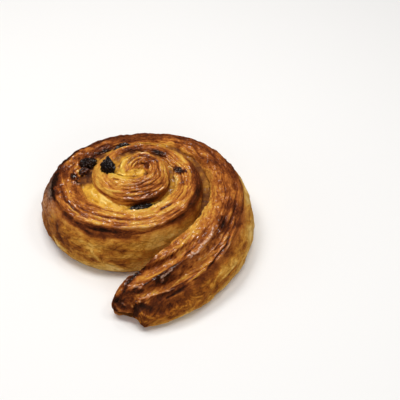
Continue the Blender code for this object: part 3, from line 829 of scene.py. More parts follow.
def on_ribbon(kind, length_mm, width_mm, seed, shift=0.0, at=0.0, **more):
    """A noise in patches of this length along the ribbon and this width across it."""
    return kind(RUN / length_mm, span / width_mm + shift, at, seed=seed, **more)


def on_wall(kind, length_mm, height_mm, seed, at=0.0):
    """A noise in patches of this length along the wall and this height up it."""
    return kind(RUN / length_mm, Z / height_mm, at, seed=seed)


def in_space(kind, size_mm, seed, **more):
    """A noise in patches of one size every way."""
    return kind(X / size_mm, Y / size_mm, Z / size_mm, seed=seed, **more)


swell = 0.50 * in_space(layered, 11.0, 10)
pits = 0.05 * in_space(layered, 1.8, 12)
tell("slow swell up to", swell.max(), "mm", 2)

# %% [markdown]
# ## Layers on the top
# Laminated dough bakes into stacked sheets.  On top their edges show as fine
# ridges that run with the coil: broad bands, narrow strands on them, and hairlines
# with a soft rise and a sudden drop.  All of them share one slow drift, so they
# swing together.  The left side bubbled under its glaze, the terraces and the left
# of the inner turn are calmer, and the free end is crinkled.

# %% Relief of the top
drift = on_ribbon(layered, 34.0, 12.0, 2, at=3.1) + 0.22 * on_ribbon(noise, 7.0, 3.0, 4)
ragged = 0.10 * on_ribbon(layered, 2.6, 1.3, 3)
band = on_ribbon(pillow, 16.0, 2.5, 5, 1.6 * drift + ragged, 0.4, crack=0.20)
strand = on_ribbon(pillow, 5.0, 1.2, 6, 3.4 * drift + 2.0 * ragged, 2.7)
hair = sheets(span / 0.8 + 3.4 * drift + 0.6 * on_ribbon(noise, 7.0, 1.5, 7))
patchy = ease(-0.45, 0.35, on_ribbon(layered, 14.0, 4.5, 8))
beads = on_ribbon(noise, 3.0, 2.0, 9)
pearls = on_ribbon(noise, 1.5, 1.0, 11, 2.0 * drift) * strand
crinkle = creased(RUN / 5.5 + 0.5 * drift, span / 1.7 + 1.2 * drift, 0.0, seed=13, octaves=2) - 0.5
free_end = ease(2.28, 2.36, TR)
west_zone = bump(TR, 1.80, 0.13)
bubbles_west = in_space(pillow, 3.4, 14, crack=0.3)
ridge, along_a, dip_a, along_b, dip_b = tail_parts(q_row, TR)
deep_a, deep_b = held(TR, TAIL, 3), held(TR, TAIL, 8)
open_layers = np.clip(deep_a * dip_a + deep_b * dip_b, 0.0, 3.0) / 3.0
calm = 1.0 - 0.7 * open_layers - 0.45 * bump(TR, 0.74, 0.09)
layers_top = (0.66 * band + 0.36 * strand * (0.4 + 0.6 * patchy) + 0.08 * hair * patchy) * calm
stroke_rise = draw_strokes("rise")
drawn = draw_strokes("height") + 0.5 * beads * stroke_rise
drawn = drawn + picture_lines("height") * (0.8 + 0.6 * pearls)
small = (0.18 * beads + 0.26 * pearls) * (0.4 + 0.6 * patchy) * (1.0 - 0.6 * bump(TR, 1.98, 0.16))
top_move = layers_top - 0.62 * calm + swell + pits + small + 0.55 * west_zone * (bubbles_west - 0.5)
top_move = top_move + drawn + crinkle * (0.25 + 0.55 * free_end) + eye_lines(X, Y, Z, "height")
tell("the top rises up to", top_move.max(), "mm", 2)

# %% [markdown]
# ## Blisters and flakes on the wall
# The outer wall blisters, wrinkles, and sheds flakes that leave small terraces.  Low
# down its layers show as fine steps.  All of it moves the skin along its own normal,
# so it reads from every side.  Where top and wall meet, the two reliefs are blended
# over a few columns, and towards the nose of each lobe they weaken.

# %% Relief of the wall
EDGE_COLUMNS = 6
BLEND_COLUMNS = 9
blister = 0.60 * layered(X / 7.0, Y / 7.0, Z / 5.0, seed=20)
wrinkle = 0.45 * creased(RUN / 9.0 + Z / 14.0, Z / 4.2 - RUN / 30.0, 0.0, seed=22) ** 2
flakes = on_wall(layered, 6.0, 3.6, 24, at=5.0)
terrace = 0.26 * ease(-0.04, 0.06, flakes) + 0.20 * ease(0.22, 0.30, flakes)
thin_folds = creased(RUN / 8.0 + Z / 10.0, Z / 3.4 - RUN / 18.0, 0.0, seed=28, octaves=2) ** 3
low_layers = 0.22 * sheets(Z / 1.9 + 0.8 * on_wall(layered, 12.0, 8.0, 26), 0.3)
low_layers = low_layers * (1.0 - ease(0.25, 0.6, level_row))
wall_move = blister + wrinkle + 0.45 * thin_folds + terrace + low_layers - 0.45 + pits + drawn

foot = ease(0.0, 2.0, Z)
move = is_top * top_move + is_wall * wall_move * foot + is_inner * 0.12 * pits * foot
pad = BLEND_COLUMNS // 2
blend = np.convolve(np.pad(is_top, pad, mode="edge"), np.ones(BLEND_COLUMNS) / BLEND_COLUMNS, "valid")
edge_zone = np.abs(np.arange(POINTS) - TOP_POINTS) < EDGE_COLUMNS
move = np.where(edge_zone, blend * (top_move * 0.8) + (1.0 - blend) * wall_move * foot, move)
move = move * (1.0 - 0.5 * end_row[:, None])
normal = surface_normals(skin)
if np.mean(normal[200:600, TOP_POINTS // 2, 2]) < 0.0:
    normal = -normal
shaped = skin + normal * move[..., None]
shaped[..., 2] = np.where(Z <= 0.0, 0.0, np.maximum(shaped[..., 2], 0.0))
tell("deepest place", move.min(), "mm", 2)

# %% [markdown]
# ## How baked each place is
# Colour follows baking: pale low on the wall, golden beside the custard, browner
# towards the rim and nearly black on the rim at the left.  One number per point, from
# 0 for pale to 1 for burnt, holds this.  Tables give it in hundredths at a few turns:
# across the top, across the free end with its terraces, and up the outer wall.

# %% Baking tables
BAKED = np.array([  # turn, then hundredths of baking at six places across the top
    (-0.2, 34, 40, 38, 30, 24, 24), (-0.05, 34, 48, 46, 34, 26, 24), (0.08, 36, 52, 54, 48, 40, 40),
    (0.2, 34, 42, 40, 34, 34, 42), (0.35, 28, 36, 38, 34, 36, 44), (0.5, 22, 34, 44, 44, 48, 58),
    (0.62, 20, 24, 32, 36, 40, 52), (0.75, 24, 26, 30, 31, 36, 46), (0.88, 40, 38, 40, 34, 30, 34),
    (1, 50, 60, 62, 44, 36, 36), (1.08, 46, 58, 60, 38, 34, 36), (1.16, 34, 38, 36, 42, 52, 60),
    (1.25, 30, 38, 48, 60, 72, 86), (1.35, 18, 26, 32, 38, 54, 86), (1.41, 12, 20, 26, 26, 34, 50),
    (1.48, 12, 22, 24, 20, 26, 46), (1.54, 18, 30, 34, 30, 34, 70), (1.6, 26, 36, 42, 40, 44, 70),
    (1.7, 50, 50, 54, 56, 62, 76), (1.8, 62, 64, 66, 70, 82, 94), (1.9, 60, 68, 70, 74, 86, 100),
    (2, 30, 42, 62, 72, 84, 98), (2.13, 34, 56, 74, 78, 78, 82), (2.25, 36, 48, 56, 60, 62, 70),
    (2.31, 30, 36, 48, 50, 54, 60), (2.36, 30, 38, 56, 56, 60, 66), (2.41, 44, 52, 62, 60, 60, 66),
    (2.45, 62, 62, 64, 60, 60, 66), (2.49, 70, 66, 64, 60, 64, 70),
])
PLACES = (-1.0, -0.5, 0.0, 0.5, 0.8, 1.0)
TAIL_BAKED = np.array([  # the same at twelve places across the free end, past 2.49 on the lobes
    (2.32, 38, 34, 38, 46, 52, 58, 62, 62, 60, 60, 58, 62),
    (2.34, 34, 30, 34, 40, 44, 52, 66, 68, 62, 56, 52, 56),
    (2.36, 30, 30, 34, 38, 48, 50, 56, 64, 54, 46, 44, 54),
    (2.38, 30, 26, 32, 46, 54, 54, 50, 54, 50, 46, 44, 66),
    (2.4, 44, 32, 32, 46, 54, 62, 50, 52, 50, 46, 38, 60),
    (2.42, 54, 44, 40, 42, 36, 56, 56, 56, 56, 50, 42, 52),
    (2.44, 56, 48, 58, 48, 44, 50, 64, 68, 66, 58, 46, 58),
    (2.46, 62, 70, 54, 48, 46, 48, 66, 74, 70, 58, 50, 64),
    (2.475, 80, 62, 50, 46, 42, 46, 64, 72, 62, 48, 48, 64),
    (2.488, 78, 78, 72, 58, 46, 42, 50, 64, 62, 48, 54, 72),
    (2.495, 70, 76, 82, 82, 68, 50, 48, 56, 58, 54, 68, 86),
    (2.503, 60, 58, 60, 74, 90, 76, 60, 56, 54, 56, 86, 92),
    (2.513, 58, 56, 58, 62, 74, 90, 92, 84, 70, 60, 88, 92),
    (2.521, 74, 74, 74, 76, 80, 86, 90, 92, 86, 68, 88, 90),
    (2.53, 74, 74, 74, 74, 74, 72, 70, 68, 66, 62, 76, 78),
])
TAIL_PLACES = (-1.0, -0.8, -0.6, -0.4, -0.2, 0.0, 0.2, 0.4, 0.52, 0.66, 0.82, 1.0)
WALL_BAKED = np.array([  # the same at five levels of the outer wall, table to rim
    (0.3, 40, 40, 50, 62, 74), (0.5, 40, 40, 56, 74, 84), (0.56, 30, 26, 30, 40, 52),
    (0.61, 26, 16, 14, 16, 26), (0.7, 24, 10, 6, 10, 22), (0.9, 30, 25, 25, 30, 40),
    (1.05, 34, 30, 40, 56, 70), (1.3, 34, 28, 38, 56, 80), (1.37, 30, 16, 20, 42, 78),
    (1.41, 28, 14, 24, 26, 40), (1.46, 24, 14, 32, 32, 40), (1.49, 24, 16, 42, 46, 66),
    (1.53, 24, 20, 50, 52, 80), (1.56, 28, 20, 46, 38, 48), (1.6, 20, 20, 44, 30, 36),
    (1.66, 36, 44, 66, 60, 50), (1.72, 46, 56, 64, 66, 60), (1.8, 44, 50, 60, 70, 80),
    (2, 42, 36, 48, 66, 85), (2.2, 32, 16, 20, 36, 60), (2.3, 28, 12, 16, 24, 42),
    (2.36, 34, 20, 34, 54, 58), (2.4, 28, 18, 50, 74, 70), (2.46, 30, 24, 68, 78, 68),
    (2.48, 44, 40, 76, 86, 82), (2.49, 46, 46, 82, 94, 98), (2.51, 50, 54, 84, 96, 98),
    (2.53, 58, 54, 62, 72, 80),
])
LEVELS = (0.0, 0.12, 0.5, 0.85, 1.0)


def across_places(value, rows, places):
    """A table's value across the ribbon: smooth along the turns, eased between its places."""
    total = held(TR, rows, 1)
    for c in range(1, len(places)):
        change = held(TR, rows, c + 1) - held(TR, rows, c)
        total = total + change * ease(places[c - 1], places[c], value)
    return total / 100.0


print("turns with a baking row", len(BAKED) + len(TAIL_BAKED) + len(WALL_BAKED))

# %% [markdown]
# Relief and baking go together: cracks between layers are darker, and small folds
# and beads that stand out are paler, partly as painted highlight.  The foot of a
# terrace's cliff is darkest, partly from browning and partly as painted shade.  The
# strokes and lines bring their own share, and slow noise makes cloudy patches.

# %% Baking of the top
opened = ease(2.31, 2.35, TR)
noisy = 1.0 - 0.5 * opened
CLIFF_SHADE_LENGTH = 0.10
CLIFF_DEPTH = 3.5
cracks = ((1.0 - band) * 0.20 + (1.0 - strand) * (0.08 + 0.12 * patchy)) * calm * noisy
blotch = 0.12 * on_ribbon(layered, 13.0, 2.6, 41, 1.4 * drift) * noisy
drawn_bake = draw_strokes("bake") + picture_lines("bake")
wobble = 0.06 * on_ribbon(layered, 5.0, 5.0, 43)
on_top = across_places(q_row, BAKED, PLACES) * (1.0 - opened)
on_top = on_top + across_places(q_row + wobble, TAIL_BAKED, TAIL_PLACES) * opened
top_bake = on_top + drawn_bake + cracks - 0.11 * noisy + blotch + 0.10 * (0.5 - hair) * patchy
# Crinkled crests and beads are paler and crinkle valleys darker: partly browning, partly painted highlight
# and shade.
top_bake = top_bake - 0.06 * pearls - crinkle * (0.10 + 0.26 * opened) + eye_lines(X, Y, Z, "bake")
# Darkest at the foot of each terrace's cliff: partly browning, partly painted shade in the recess.
cliff_shade_a, cliff_shade_b = (ease(0.0, 0.04, u) * np.exp(-u / CLIFF_SHADE_LENGTH) for u in (along_a, along_b))
top_bake = top_bake + 0.12 * (deep_a * cliff_shade_a + deep_b * cliff_shade_b) / CLIFF_DEPTH
top_bake = top_bake + 0.25 * west_zone * (0.5 - bubbles_west)
tell("mean baking of the top", top_bake[:, :TOP_POINTS].mean(), digits=2)

# %% [markdown]
# The wall has its own table and its own noise.  Then the parts are joined, values
# past a deep brown are squeezed so that dark places keep some detail, and four local
# spots are added.

# %% Baking of the wall and the whole
INNER_BAKED = 0.30
BASE_BAKED = 0.45
DEEP_BROWN = 0.66
SPOTS = (  # x and y from the eye, height, radius along x, y, z, added baking
    (-38.3, 4.3, 28, 4.5, 3.5, 9, 0.45), (-52.9, 3, 27, 4, 9, 8, 0.55), (9.3, 21.6, 33, 5, 2.2, 8, 0.35),
    (22, 9.5, 31, 4.5, 3, 5, 0.4),
)
west = bump(TR, 1.68, 0.14)
wall_bake = across_places(level_row, WALL_BAKED, LEVELS) + drawn_bake
wall_bake = wall_bake + (0.20 + 0.16 * west) * on_wall(layered, 6.0, 5.0, 40)
wall_bake = wall_bake + 0.06 * ease(0.0, 0.1, flakes) * ease(0.1, 0.4, level_row) - 0.20 * wrinkle
wall_bake = wall_bake + 0.06 - 0.16 * thin_folds
inner_bake = INNER_BAKED + 0.1 * level_row
bake = is_top * top_bake + is_wall * wall_bake + is_inner * inner_bake + is_base * BASE_BAKED
bake = bake + 0.12 * in_space(layered, 5.0, 42)
squeeze = 0.45 + 0.35 * opened
bake = np.where(bake > DEEP_BROWN, DEEP_BROWN + squeeze * (bake - DEEP_BROWN), bake)
uneven = 0.6 + 0.6 * in_space(layered, 2.5, 44)
for sx, sy, sz, rx, ry, rz, amount in SPOTS:
    far = ((X - EYE[0] - sx) / rx) ** 2 + ((Y - EYE[1] - sy) / ry) ** 2 + ((Z - sz) / rz) ** 2
    bake = bake + amount * np.exp(-far) * uneven
bake = np.clip(bake, 0.0, 1.0)
wall_share = np.clip(is_wall * (1.0 - ease(0.75, 1.0, level_row)) + 0.6 * is_inner, 0.0, 1.0)
tell("mean baking of all", bake.mean(), digits=2)

# %% [markdown]
# ## Custard on the dough
# Here and there custard spilled over the dough and baked on as a yellow smear.  The
# largest is a pool between the upright raisin and the eye.  Where it lies, the dough
# takes the custard's yellow and stays paler.

# %% Custard smears
SMEARS = (  # turn, q across the top, half length in turns, half width in q, how yellow
    (-0.14, 0.5, 0.07, 0.6, 0.9), (0.6, -0.8, 0.14, 0.35, 0.8), (1.46, -0.92, 0.2, 0.22, 0.7),
    (1.05, 0.8, 0.08, 0.3, 0.5),
)
EYE_POOL = (  # half width in pixels, no height, how much custard, then left and top of each point
    (3, 0, 1, 108, 171, 114, 171.5, 119, 173, 125, 175, 131, 175.5),
    (2, 0, 0.9, 113, 168, 117, 169.5, 121, 171, 125, 172.5), (1.2, 0, 0.7, 120, 168, 121, 163, 124, 159),
)
POOL_PALER = 0.26
yolk = np.zeros(bake.shape)
for at_turn, at_q, half_turn, half_q, amount in SMEARS:
    yolk = yolk + amount * bump(TR, at_turn, half_turn) * bump(q_row, at_q, half_q)
yolk = yolk * is_top * (1.0 + 0.6 * layered(X / 3.0, Y / 3.0, 0.0, seed=46))
pool = is_top * near_eye(X, Y) * draw_lines(EYE_POOL, *skin_seen, "bake")
yolk = np.clip(yolk + pool, 0.0, 1.0)
bake = np.clip(bake - POOL_PALER * pool, 0.0, 1.0)
tell("share of points under custard", (yolk > 0.5).mean(), digits=3)

# %% [markdown]
# ## Gloss and painted highlights
# The top was brushed with glaze.  It shines most on crests, on raised beads and on
# the left side, and least behind the coil.  On raised lines a pale colour is painted
# in as a highlight that shows without any reflection, and on the left wall a thin
# pale sheen is painted in the same way.

# %% Gloss and painted highlights
PAINTED_HIGHLIGHT_FROM_MM = 0.40
shine = 0.50 + 0.50 * west_zone + 0.30 * bump(TR, 0.45, 0.25) + 0.30 * bump(TR, 1.45, 0.2) + 0.35 * ridge
shine = shine - 0.70 * bump(TR, 1.98, 0.18) + 0.25 * ease(2.25, 2.35, TR)
eye_rise = eye_lines(X, Y, Z, "rise")
shine = shine + 1.2 * stroke_rise + 0.8 * eye_rise + 0.9 * seen_rise - 0.5 * open_layers
crest = (0.20 + 1.05 * strand * band) * (1.0 + 0.8 * crinkle)
top_shine = shine * crest * (0.85 + 0.6 * on_ribbon(layered, 8.0, 3.0, 48))
wall_shine = 0.10 + 0.2 * ease(0.88, 1.0, level_row)
shine = np.clip(is_top * top_shine + is_wall * wall_shine, 0.0, 1.0)
# Painted highlight: a pale colour on raised lines, and a painted sheen on the left wall.
raised = np.clip(seen_rise + eye_rise, 0.0, 1.0) - PAINTED_HIGHLIGHT_FROM_MM
film = np.clip(2.6 * raised * (0.75 + 0.5 * pearls), 0.0, 1.0) * is_top
film = film * (1.0 - 0.7 * bump(TR, 1.90, 0.20)) * (0.75 + 0.60 * opened)
painted_sheen = is_wall * bump(TR, 1.74, 0.05) * ease(0.2, 0.5, level_row) * np.clip(0.55 + 0.9 * flakes, 0.0, 1.0)
film = np.maximum(film, 0.5 * painted_sheen)
tell("share of points with a thick film", (film > 0.5).mean(), digits=3)

# %% [markdown]
# ## From grid to mesh
# Blender takes whole arrays with foreach_set.  The grid's columns wrap round, and the
# first and last rows are closed with one many-sided face each.  The numbers worked
# out for each point, such as the baking and the gloss, travel with the mesh as
# attributes, and the UV map runs along and round the ribbon, so a pattern can follow
# it.

# %% Mesh helpers
def grid_faces(rows, columns):
    """Corner numbers of a wrapped grid's quads, as an array with one row per quad."""
    i = np.arange(rows - 1)[:, None]
    j = np.arange(columns)[None, :]
    k = (j + 1) % columns
    quads = np.stack(np.broadcast_arrays(i * columns + j, i * columns + k,
                                         (i + 1) * columns + k, (i + 1) * columns + j), axis=-1)
    return quads.reshape(-1, 4)


def flip_if_inside_out(mesh):
    """Turns every face over when the signed volume, the sum of p . (q x r) / 6, is negative."""
    mesh.calc_loop_triangles()
    tri = np.empty(len(mesh.loop_triangles) * 3, np.int32)
    mesh.loop_triangles.foreach_get("vertices", tri)
    co = np.empty(len(mesh.vertices) * 3, np.float32)
    mesh.vertices.foreach_get("co", co)
    p, q, r = (co.reshape(-1, 3)[tri.reshape(-1, 3)[:, n]].astype(float) for n in range(3))
    if np.einsum("ij,ij->i", p, np.cross(q, r)).sum() < 0.0:
        mesh.flip_normals()


def make_piece(name, grid, attributes, uv=None):
    """A closed mesh from a grid in millimetres, with smooth faces that point outwards."""
    rows, columns = grid.shape[:2]
    quads = grid_faces(rows, columns)
    caps = [np.arange(columns)[::-1], (rows - 1) * columns + np.arange(columns)]
    corners = np.concatenate([quads.ravel(), *caps])
    sizes = np.concatenate([np.full(len(quads), 4), [columns, columns]])
    starts = np.concatenate([[0], np.cumsum(sizes)[:-1]])
    mesh = bpy.data.meshes.new(name)
    mesh.vertices.add(rows * columns)
    mesh.vertices.foreach_set("co", (grid.reshape(-1) * MM).astype(np.float32))
    mesh.loops.add(len(corners))
    mesh.loops.foreach_set("vertex_index", corners.astype(np.int32))
    mesh.polygons.add(len(sizes))
    mesh.polygons.foreach_set("loop_start", starts.astype(np.int32))
    mesh.polygons.foreach_set("loop_total", sizes.astype(np.int32))
    mesh.update(calc_edges=True)
    if uv is not None:
        layer = mesh.uv_layers.new(name="UVMap")
        layer.data.foreach_set("uv", uv.reshape(-1, 2)[corners].astype(np.float32).ravel())
    for key, values in attributes.items():
        slot = mesh.attributes.new(key, "FLOAT", "POINT")
        slot.data.foreach_set("value", values.reshape(-1).astype(np.float32))
    mesh.validate()
    flip_if_inside_out(mesh)
    mesh.polygons.foreach_set("use_smooth", np.ones(len(mesh.polygons), bool))
    piece = bpy.data.objects.new(name, mesh)
    bpy.context.scene.collection.objects.link(piece)
    print(name, len(mesh.polygons), "faces")
    return piece


# %% Dough piece
UV_PER_METRE = 10.0
dough_uv = np.stack([np.broadcast_to(RUN, span.shape), span], axis=-1) * MM * UV_PER_METRE
dough_values = {"bake": bake, "wall": np.broadcast_to(wall_share, bake.shape), "yolk": yolk,
                "shine": shine, "film": film}
dough = make_piece("dough_skin", shaped, dough_values, dough_uv)

# %% [markdown]
# ## Custard
# The custard fills the groove.  Its grid spans from one turn's inner wall to the
# outer wall of the turn inside it, a touch into both so that no dark gap shows, with
# a raised edge where it clung to the dough and small bubbles between.  First the two
# edges: the groove's inner edge follows the inner turn's wall, passes round the
# ribbon's rounded start, and comes back along the outer wall.

# %% Edges of the groove
CUSTARD = np.array([  # turn, height of the top
    (0.3, 36.6), (0.5, 36.8), (0.6, 37.5), (0.75, 36), (1, 34.2), (1.25, 28.6), (1.5, 26.6), (1.75, 27.2),
    (2, 27.8), (2.12, 27), (2.22, 25), (2.3, 21.5), (2.37, 16),
])
CUSTARD_STATIONS = 620
CUSTARD_ACROSS = 25
INTO_WALL = 0.35
OVER_SHOULDER = 1.3
GUIDE_HEIGHT = 28.0
PAST_START = 0.80
SEARCH_TURNS = 0.1

c_turn = np.linspace(CUSTARD[0, 0], CUSTARD[-1, 0], CUSTARD_STATIONS)
c_point, _, c_out = plan(c_turn)
inside = np.linspace(0.24, RIBBON[0, 0], 60)
cap = np.linspace(-0.5 * math.pi, 0.5 * math.pi, 19)[1:-1]
outside = np.linspace(RIBBON[0, 0], 1.45, 1600)


def far_wall(level_height):
    """The inner turn's boundary at one height: inner wall, rounded start, outer wall."""
    p, _, n = plan(inside)
    wall = p + n * (inner_offset(inside, 1.0) + INTO_WALL)[:, None]
    first, first_along, first_out = plan(RIBBON[:1, 0])
    arc = (first - first_along * ((START_ROUND - INTO_WALL) * np.cos(cap))[:, None]
           + first_out * ((0.5 * RIBBON[0, 2] - INTO_WALL) * np.sin(cap))[:, None])
    p, _, n = plan(outside)
    level = np.clip(level_height / top_height(1.0, outside), 0.0, 1.0)
    return np.concatenate([wall, arc, p + n * (outer_offset(outside, level) - INTO_WALL)[:, None]])


guide = far_wall(GUIDE_HEIGHT)
switch = len(inside) + len(cap)
near_line = c_point + c_out * (inner_offset(c_turn, 1.0) + INTO_WALL)[:, None]
match = np.interp(c_turn, [0.30, 0.60, 0.74, PAST_START], [0.0, len(inside) - 1.0, switch, switch + 46.0])
for i in np.nonzero(c_turn >= PAST_START)[0]:
    window = np.nonzero(np.abs(outside - c_turn[i] + 1.0) < SEARCH_TURNS)[0] + switch
    gaps = np.linalg.norm(guide[window] - near_line[i], axis=1)
    match[i] = window[int(np.argmin(gaps))]
match = np.maximum.accumulate(match)
far_line = np.stack([np.interp(match, np.arange(len(guide)), guide[:, n]) for n in range(2)], axis=1)
tell("widest place of the groove", np.linalg.norm(near_line - far_line, axis=1).max(), "mm")

# %% [markdown]
# Then the surface between them: it clings to both edges, is lumpy near the eye, has
# fallen bubbles, and in front on the left it climbs up the wall of the inner turn.
# Lines seen in the photograph are drawn on it too, as on the dough.

# %% Custard surface
CUSTARD_LINES = (
    (4.5, 0.9, 0.46, 93, 166, 89, 173, 85, 180, 83, 187),
    (0.8, 0.5, -0.36, 83, 178, 86, 174.5, 90, 172.8, 95, 171), (1.4, 0.3, 0.3, 86, 182, 90, 183.5, 93, 181),
    # the first line here is a painted highlight
    (0.9, 0.7, -0.4, 91, 191, 92.5, 194, 95, 197), (0.8, 0.5, -0.34, 100, 201, 104, 202.5, 107, 205),
    (0.7, 0.5, -0.34, 103, 198.5, 108, 201, 113, 203), (1.4, -0.3, 0.2, 86, 196, 93, 200, 100, 204),
    (1, 0.5, -0.24, 120, 206, 124, 206.5, 128, 208.5),
)
CLING_MM = 0.5
CLING_REACH = 1.6
CLIMB_MM = 4.2
SIDE_LEVELS = np.array([0.9, 0.6, 0.25, 0.0])

w = np.linspace(0.0, 1.0, CUSTARD_ACROSS)[None, :]
across = near_line - far_line
width = np.linalg.norm(across, axis=1)[:, None]
across = OVER_SHOULDER * across / width
near_top, far_top = (near_line + across)[:, None, :], (far_line - across)[:, None, :]
floor_plan = near_top * (1.0 - w[..., None]) + far_top * w[..., None]
width = width + 2.0 * OVER_SHOULDER
cling = CLING_MM * (np.exp(-w * width / CLING_REACH) + np.exp(-(1.0 - w) * width / CLING_REACH))
CX, CY = floor_plan[..., 0], floor_plan[..., 1]
eye_part = 1.0 - ease(0.62, 0.80, c_turn)[:, None]
lumps = (0.50 + 0.9 * eye_part) * layered(CX / 3.0, CY / 3.0, 0.0, seed=50)
lumps = lumps + (0.22 + 0.2 * eye_part) * layered(CX / 1.3, CY / 1.3, 0.0, seed=52)
bubbles = 0.25 * ease(0.55, 0.85, creased(CX / 2.2, CY / 2.2, 0.0, seed=54))
climb = CLIMB_MM * bump(c_turn, 1.64, 0.12)[:, None] * w**1.5
top_z = table(c_turn, CUSTARD, 1)[:, None] + cling + climb + lumps - bubbles
top_z = top_z + 0.6 * eye_lines(CX, CY, top_z, "height")
drawn_part = ease(1.30, 1.36, c_turn)[:, None] * (1.0 - ease(2.00, 2.06, c_turn)[:, None])
custard_seen = seen_at(CX, CY, top_z)
top_z = top_z + drawn_part * draw_lines(CUSTARD_LINES, *custard_seen, "height")
near_side = np.dstack([np.repeat(near_line[:, None, :], 4, axis=1), top_z[:, :1] * SIDE_LEVELS[::-1]])
far_side = np.dstack([np.repeat(far_line[:, None, :], 4, axis=1), top_z[:, -1:] * SIDE_LEVELS])
custard_grid = np.concatenate([near_side, np.dstack([floor_plan, top_z]), far_side], axis=1)
tell("highest custard", top_z.max(), "mm")

# %% [markdown]
# Custard browns where it is thin: along its edges, where the groove has closed, and
# on the free end's side.  A table gives its baking along the groove in hundredths,
# and a few patches near the eye are paler or browner.

# %% Browning of the custard
CUSTARD_BAKED = np.array([  # turn, how browned the custard is, in hundredths
    (0.3, 26), (0.6, 22), (0.72, 18), (0.82, 40), (1, 54), (1.12, 50), (1.25, 44), (1.38, 36), (1.48, 26),
    (1.58, 14), (1.68, 15), (1.76, 44), (1.86, 58), (1.93, 46), (2.02, 38), (2.1, 50), (2.2, 58),
    (2.28, 62), (2.37, 66),
])
PALE_PATCHES = (  # x, y from the eye, reach along x and y, change of baking
    (0, 2.6, 1.6, 1.6, -0.16), (-11, 0.6, 3.2, 2.2, -0.22), (-5.5, 0.8, 2.8, 2, 0.3),
    (1.5, 0, 2.4, 1.2, 0.24), (3.6, 0.5, 1.5, 2, 0.24), (-6.5, -1.8, 4, 0.7, 0.26),
)
browned = held(c_turn, CUSTARD_BAKED, 1)[:, None] / 100.0
from_far = (1.0 - w) * width - OVER_SHOULDER
browned = browned + 0.5 * bump(c_turn, 0.96, 0.12)[:, None] * bump(from_far, 0.3, 0.7)
for patch_x, patch_y, reach_x, reach_y, amount in PALE_PATCHES:
    far = ((CX - EYE[0] - patch_x) / reach_x) ** 2 + ((CY - EYE[1] - patch_y) / reach_y) ** 2
    browned = browned + amount * np.exp(-far) * eye_part
browned = browned + 0.26 * cling / CLING_MM
browned = browned + (0.28 + 0.2 * eye_part) * layered(CX / 4.0, CY / 4.0, 0.0, seed=56)
browned = browned + eye_lines(CX, CY, top_z, "bake")
browned = browned + drawn_part * draw_lines(CUSTARD_LINES, *custard_seen, "bake")
custard_bake = np.pad(browned, ((0, 0), (len(SIDE_LEVELS), len(SIDE_LEVELS))), mode="edge")
custard = make_piece("custard_fill", custard_grid, {"bake": np.clip(custard_bake, 0.0, 1.0)})

# %% [markdown]
# ## Raisins
# A raisin is a dried grape: its skin has shrunk into deep, winding creases.  A
# sphere's grid is pushed in along creased noise of three sizes, its ends are
# narrowed where the real one is pointed, and each raisin gets its own seed, size and
# lean.

# %% Raisin shapes
# x and y from the eye with the height, half sizes, turn about Z, lean back, seed, how pointed, how amber
RAISINS = {
    "raisin_1": ((-19.2, 4.3, 38.8), (3.9, 3.1, 5.1), 0.0, 42.0, 3, 0.30, 0.0),
    "raisin_2": ((-32.6, 16.8, 29.8), (4.9, 3.6, 3.2), 20.0, 0.0, 5, 0.0, 0.1),
    "raisin_3": ((-34.8, 10.4, 29.0), (3.2, 2.9, 2.5), 60.0, 0.0, 8, 0.0, 0.8),
    "raisin_4": ((-13.4, 31.8, 28.8), (5.0, 2.9, 2.6), 20.0, 0.0, 13, 0.1, 0.1),
    "raisin_5": ((2.2, -18.0, 27.0), (7.6, 2.8, 2.3), 4.0, 0.0, 27, 0.1, 0.0),
    "raisin_6": ((22.8, 9.0, 31.2), (5.0, 2.6, 2.0), -12.0, 0.0, 34, 0.5, 0.6),
}
RAISIN_ROWS, RAISIN_COLUMNS = 96, 144
POLE_GAP = 0.02


def crumple(x, y, z, seed):
    """Creased noise read at places that are themselves pushed about, so no fold runs straight."""
    px, py, pz = (0.45 * noise(x * 1.4 + n, y * 1.4, z * 1.4, seed + n) for n in (1, 2, 3))
    a, b, c = x + px + 0.3 * y, y + py - 0.3 * z, z + pz + 0.2 * x
    return creased(a, b, c, seed=seed, octaves=2)


def sphere_grid():
    """Points of a unit sphere: sines and cosines of two angles, open a hair at the poles."""
    polar = np.linspace(POLE_GAP, math.pi - POLE_GAP, RAISIN_ROWS)[:, None]
    around = np.linspace(0.0, 2.0 * math.pi, RAISIN_COLUMNS, endpoint=False)[None, :]
    return np.stack(np.broadcast_arrays(np.sin(polar) * np.cos(around), np.sin(polar) * np.sin(around),
                                        np.cos(polar)), axis=-1)


def raisin_grid(place, size, turned, lean, seed, pointed):
    """A sphere's grid: radius grows on sharp folds, scaled to the half sizes, leaned, turned."""
    unit = sphere_grid()
    x, y, z = (unit[..., n] for n in range(3))
    folds = crumple(x * 1.7, y * 1.7, z * 1.3, seed)
    small = crumple(x * 4.0, y * 4.0, z * 3.2, seed + 5)
    tiny = crumple(x * 9.0, y * 9.0, z * 8.0, seed + 8)
    radius = 0.58 + 0.16 * noise(x * 1.3 + 0.5 * y, y * 1.3, z * 1.3 + 0.4 * x, seed=seed + 9)
    radius = radius + 0.44 * folds**1.4 + 0.26 * small + 0.13 * tiny
    shape = unit * radius[..., None] * np.array(size)
    taper = pointed * ((0.5 + 0.5 * z) ** 3.0 + 0.7 * (0.5 - 0.5 * z) ** 3.0)
    shape[..., :2] *= (1.0 - taper)[..., None]
    a, b = math.radians(turned), math.radians(-lean)
    tilt = np.array([[1, 0, 0], [0, math.cos(b), -math.sin(b)], [0, math.sin(b), math.cos(b)]])
    spin = np.array([[math.cos(a), -math.sin(a), 0], [math.sin(a), math.cos(a), 0], [0, 0, 1]])
    places = shape @ (spin @ tilt).T + np.array([*(EYE + place[:2]), place[2]])
    return places, 0.5 * folds + 0.35 * small + 0.25 * tiny


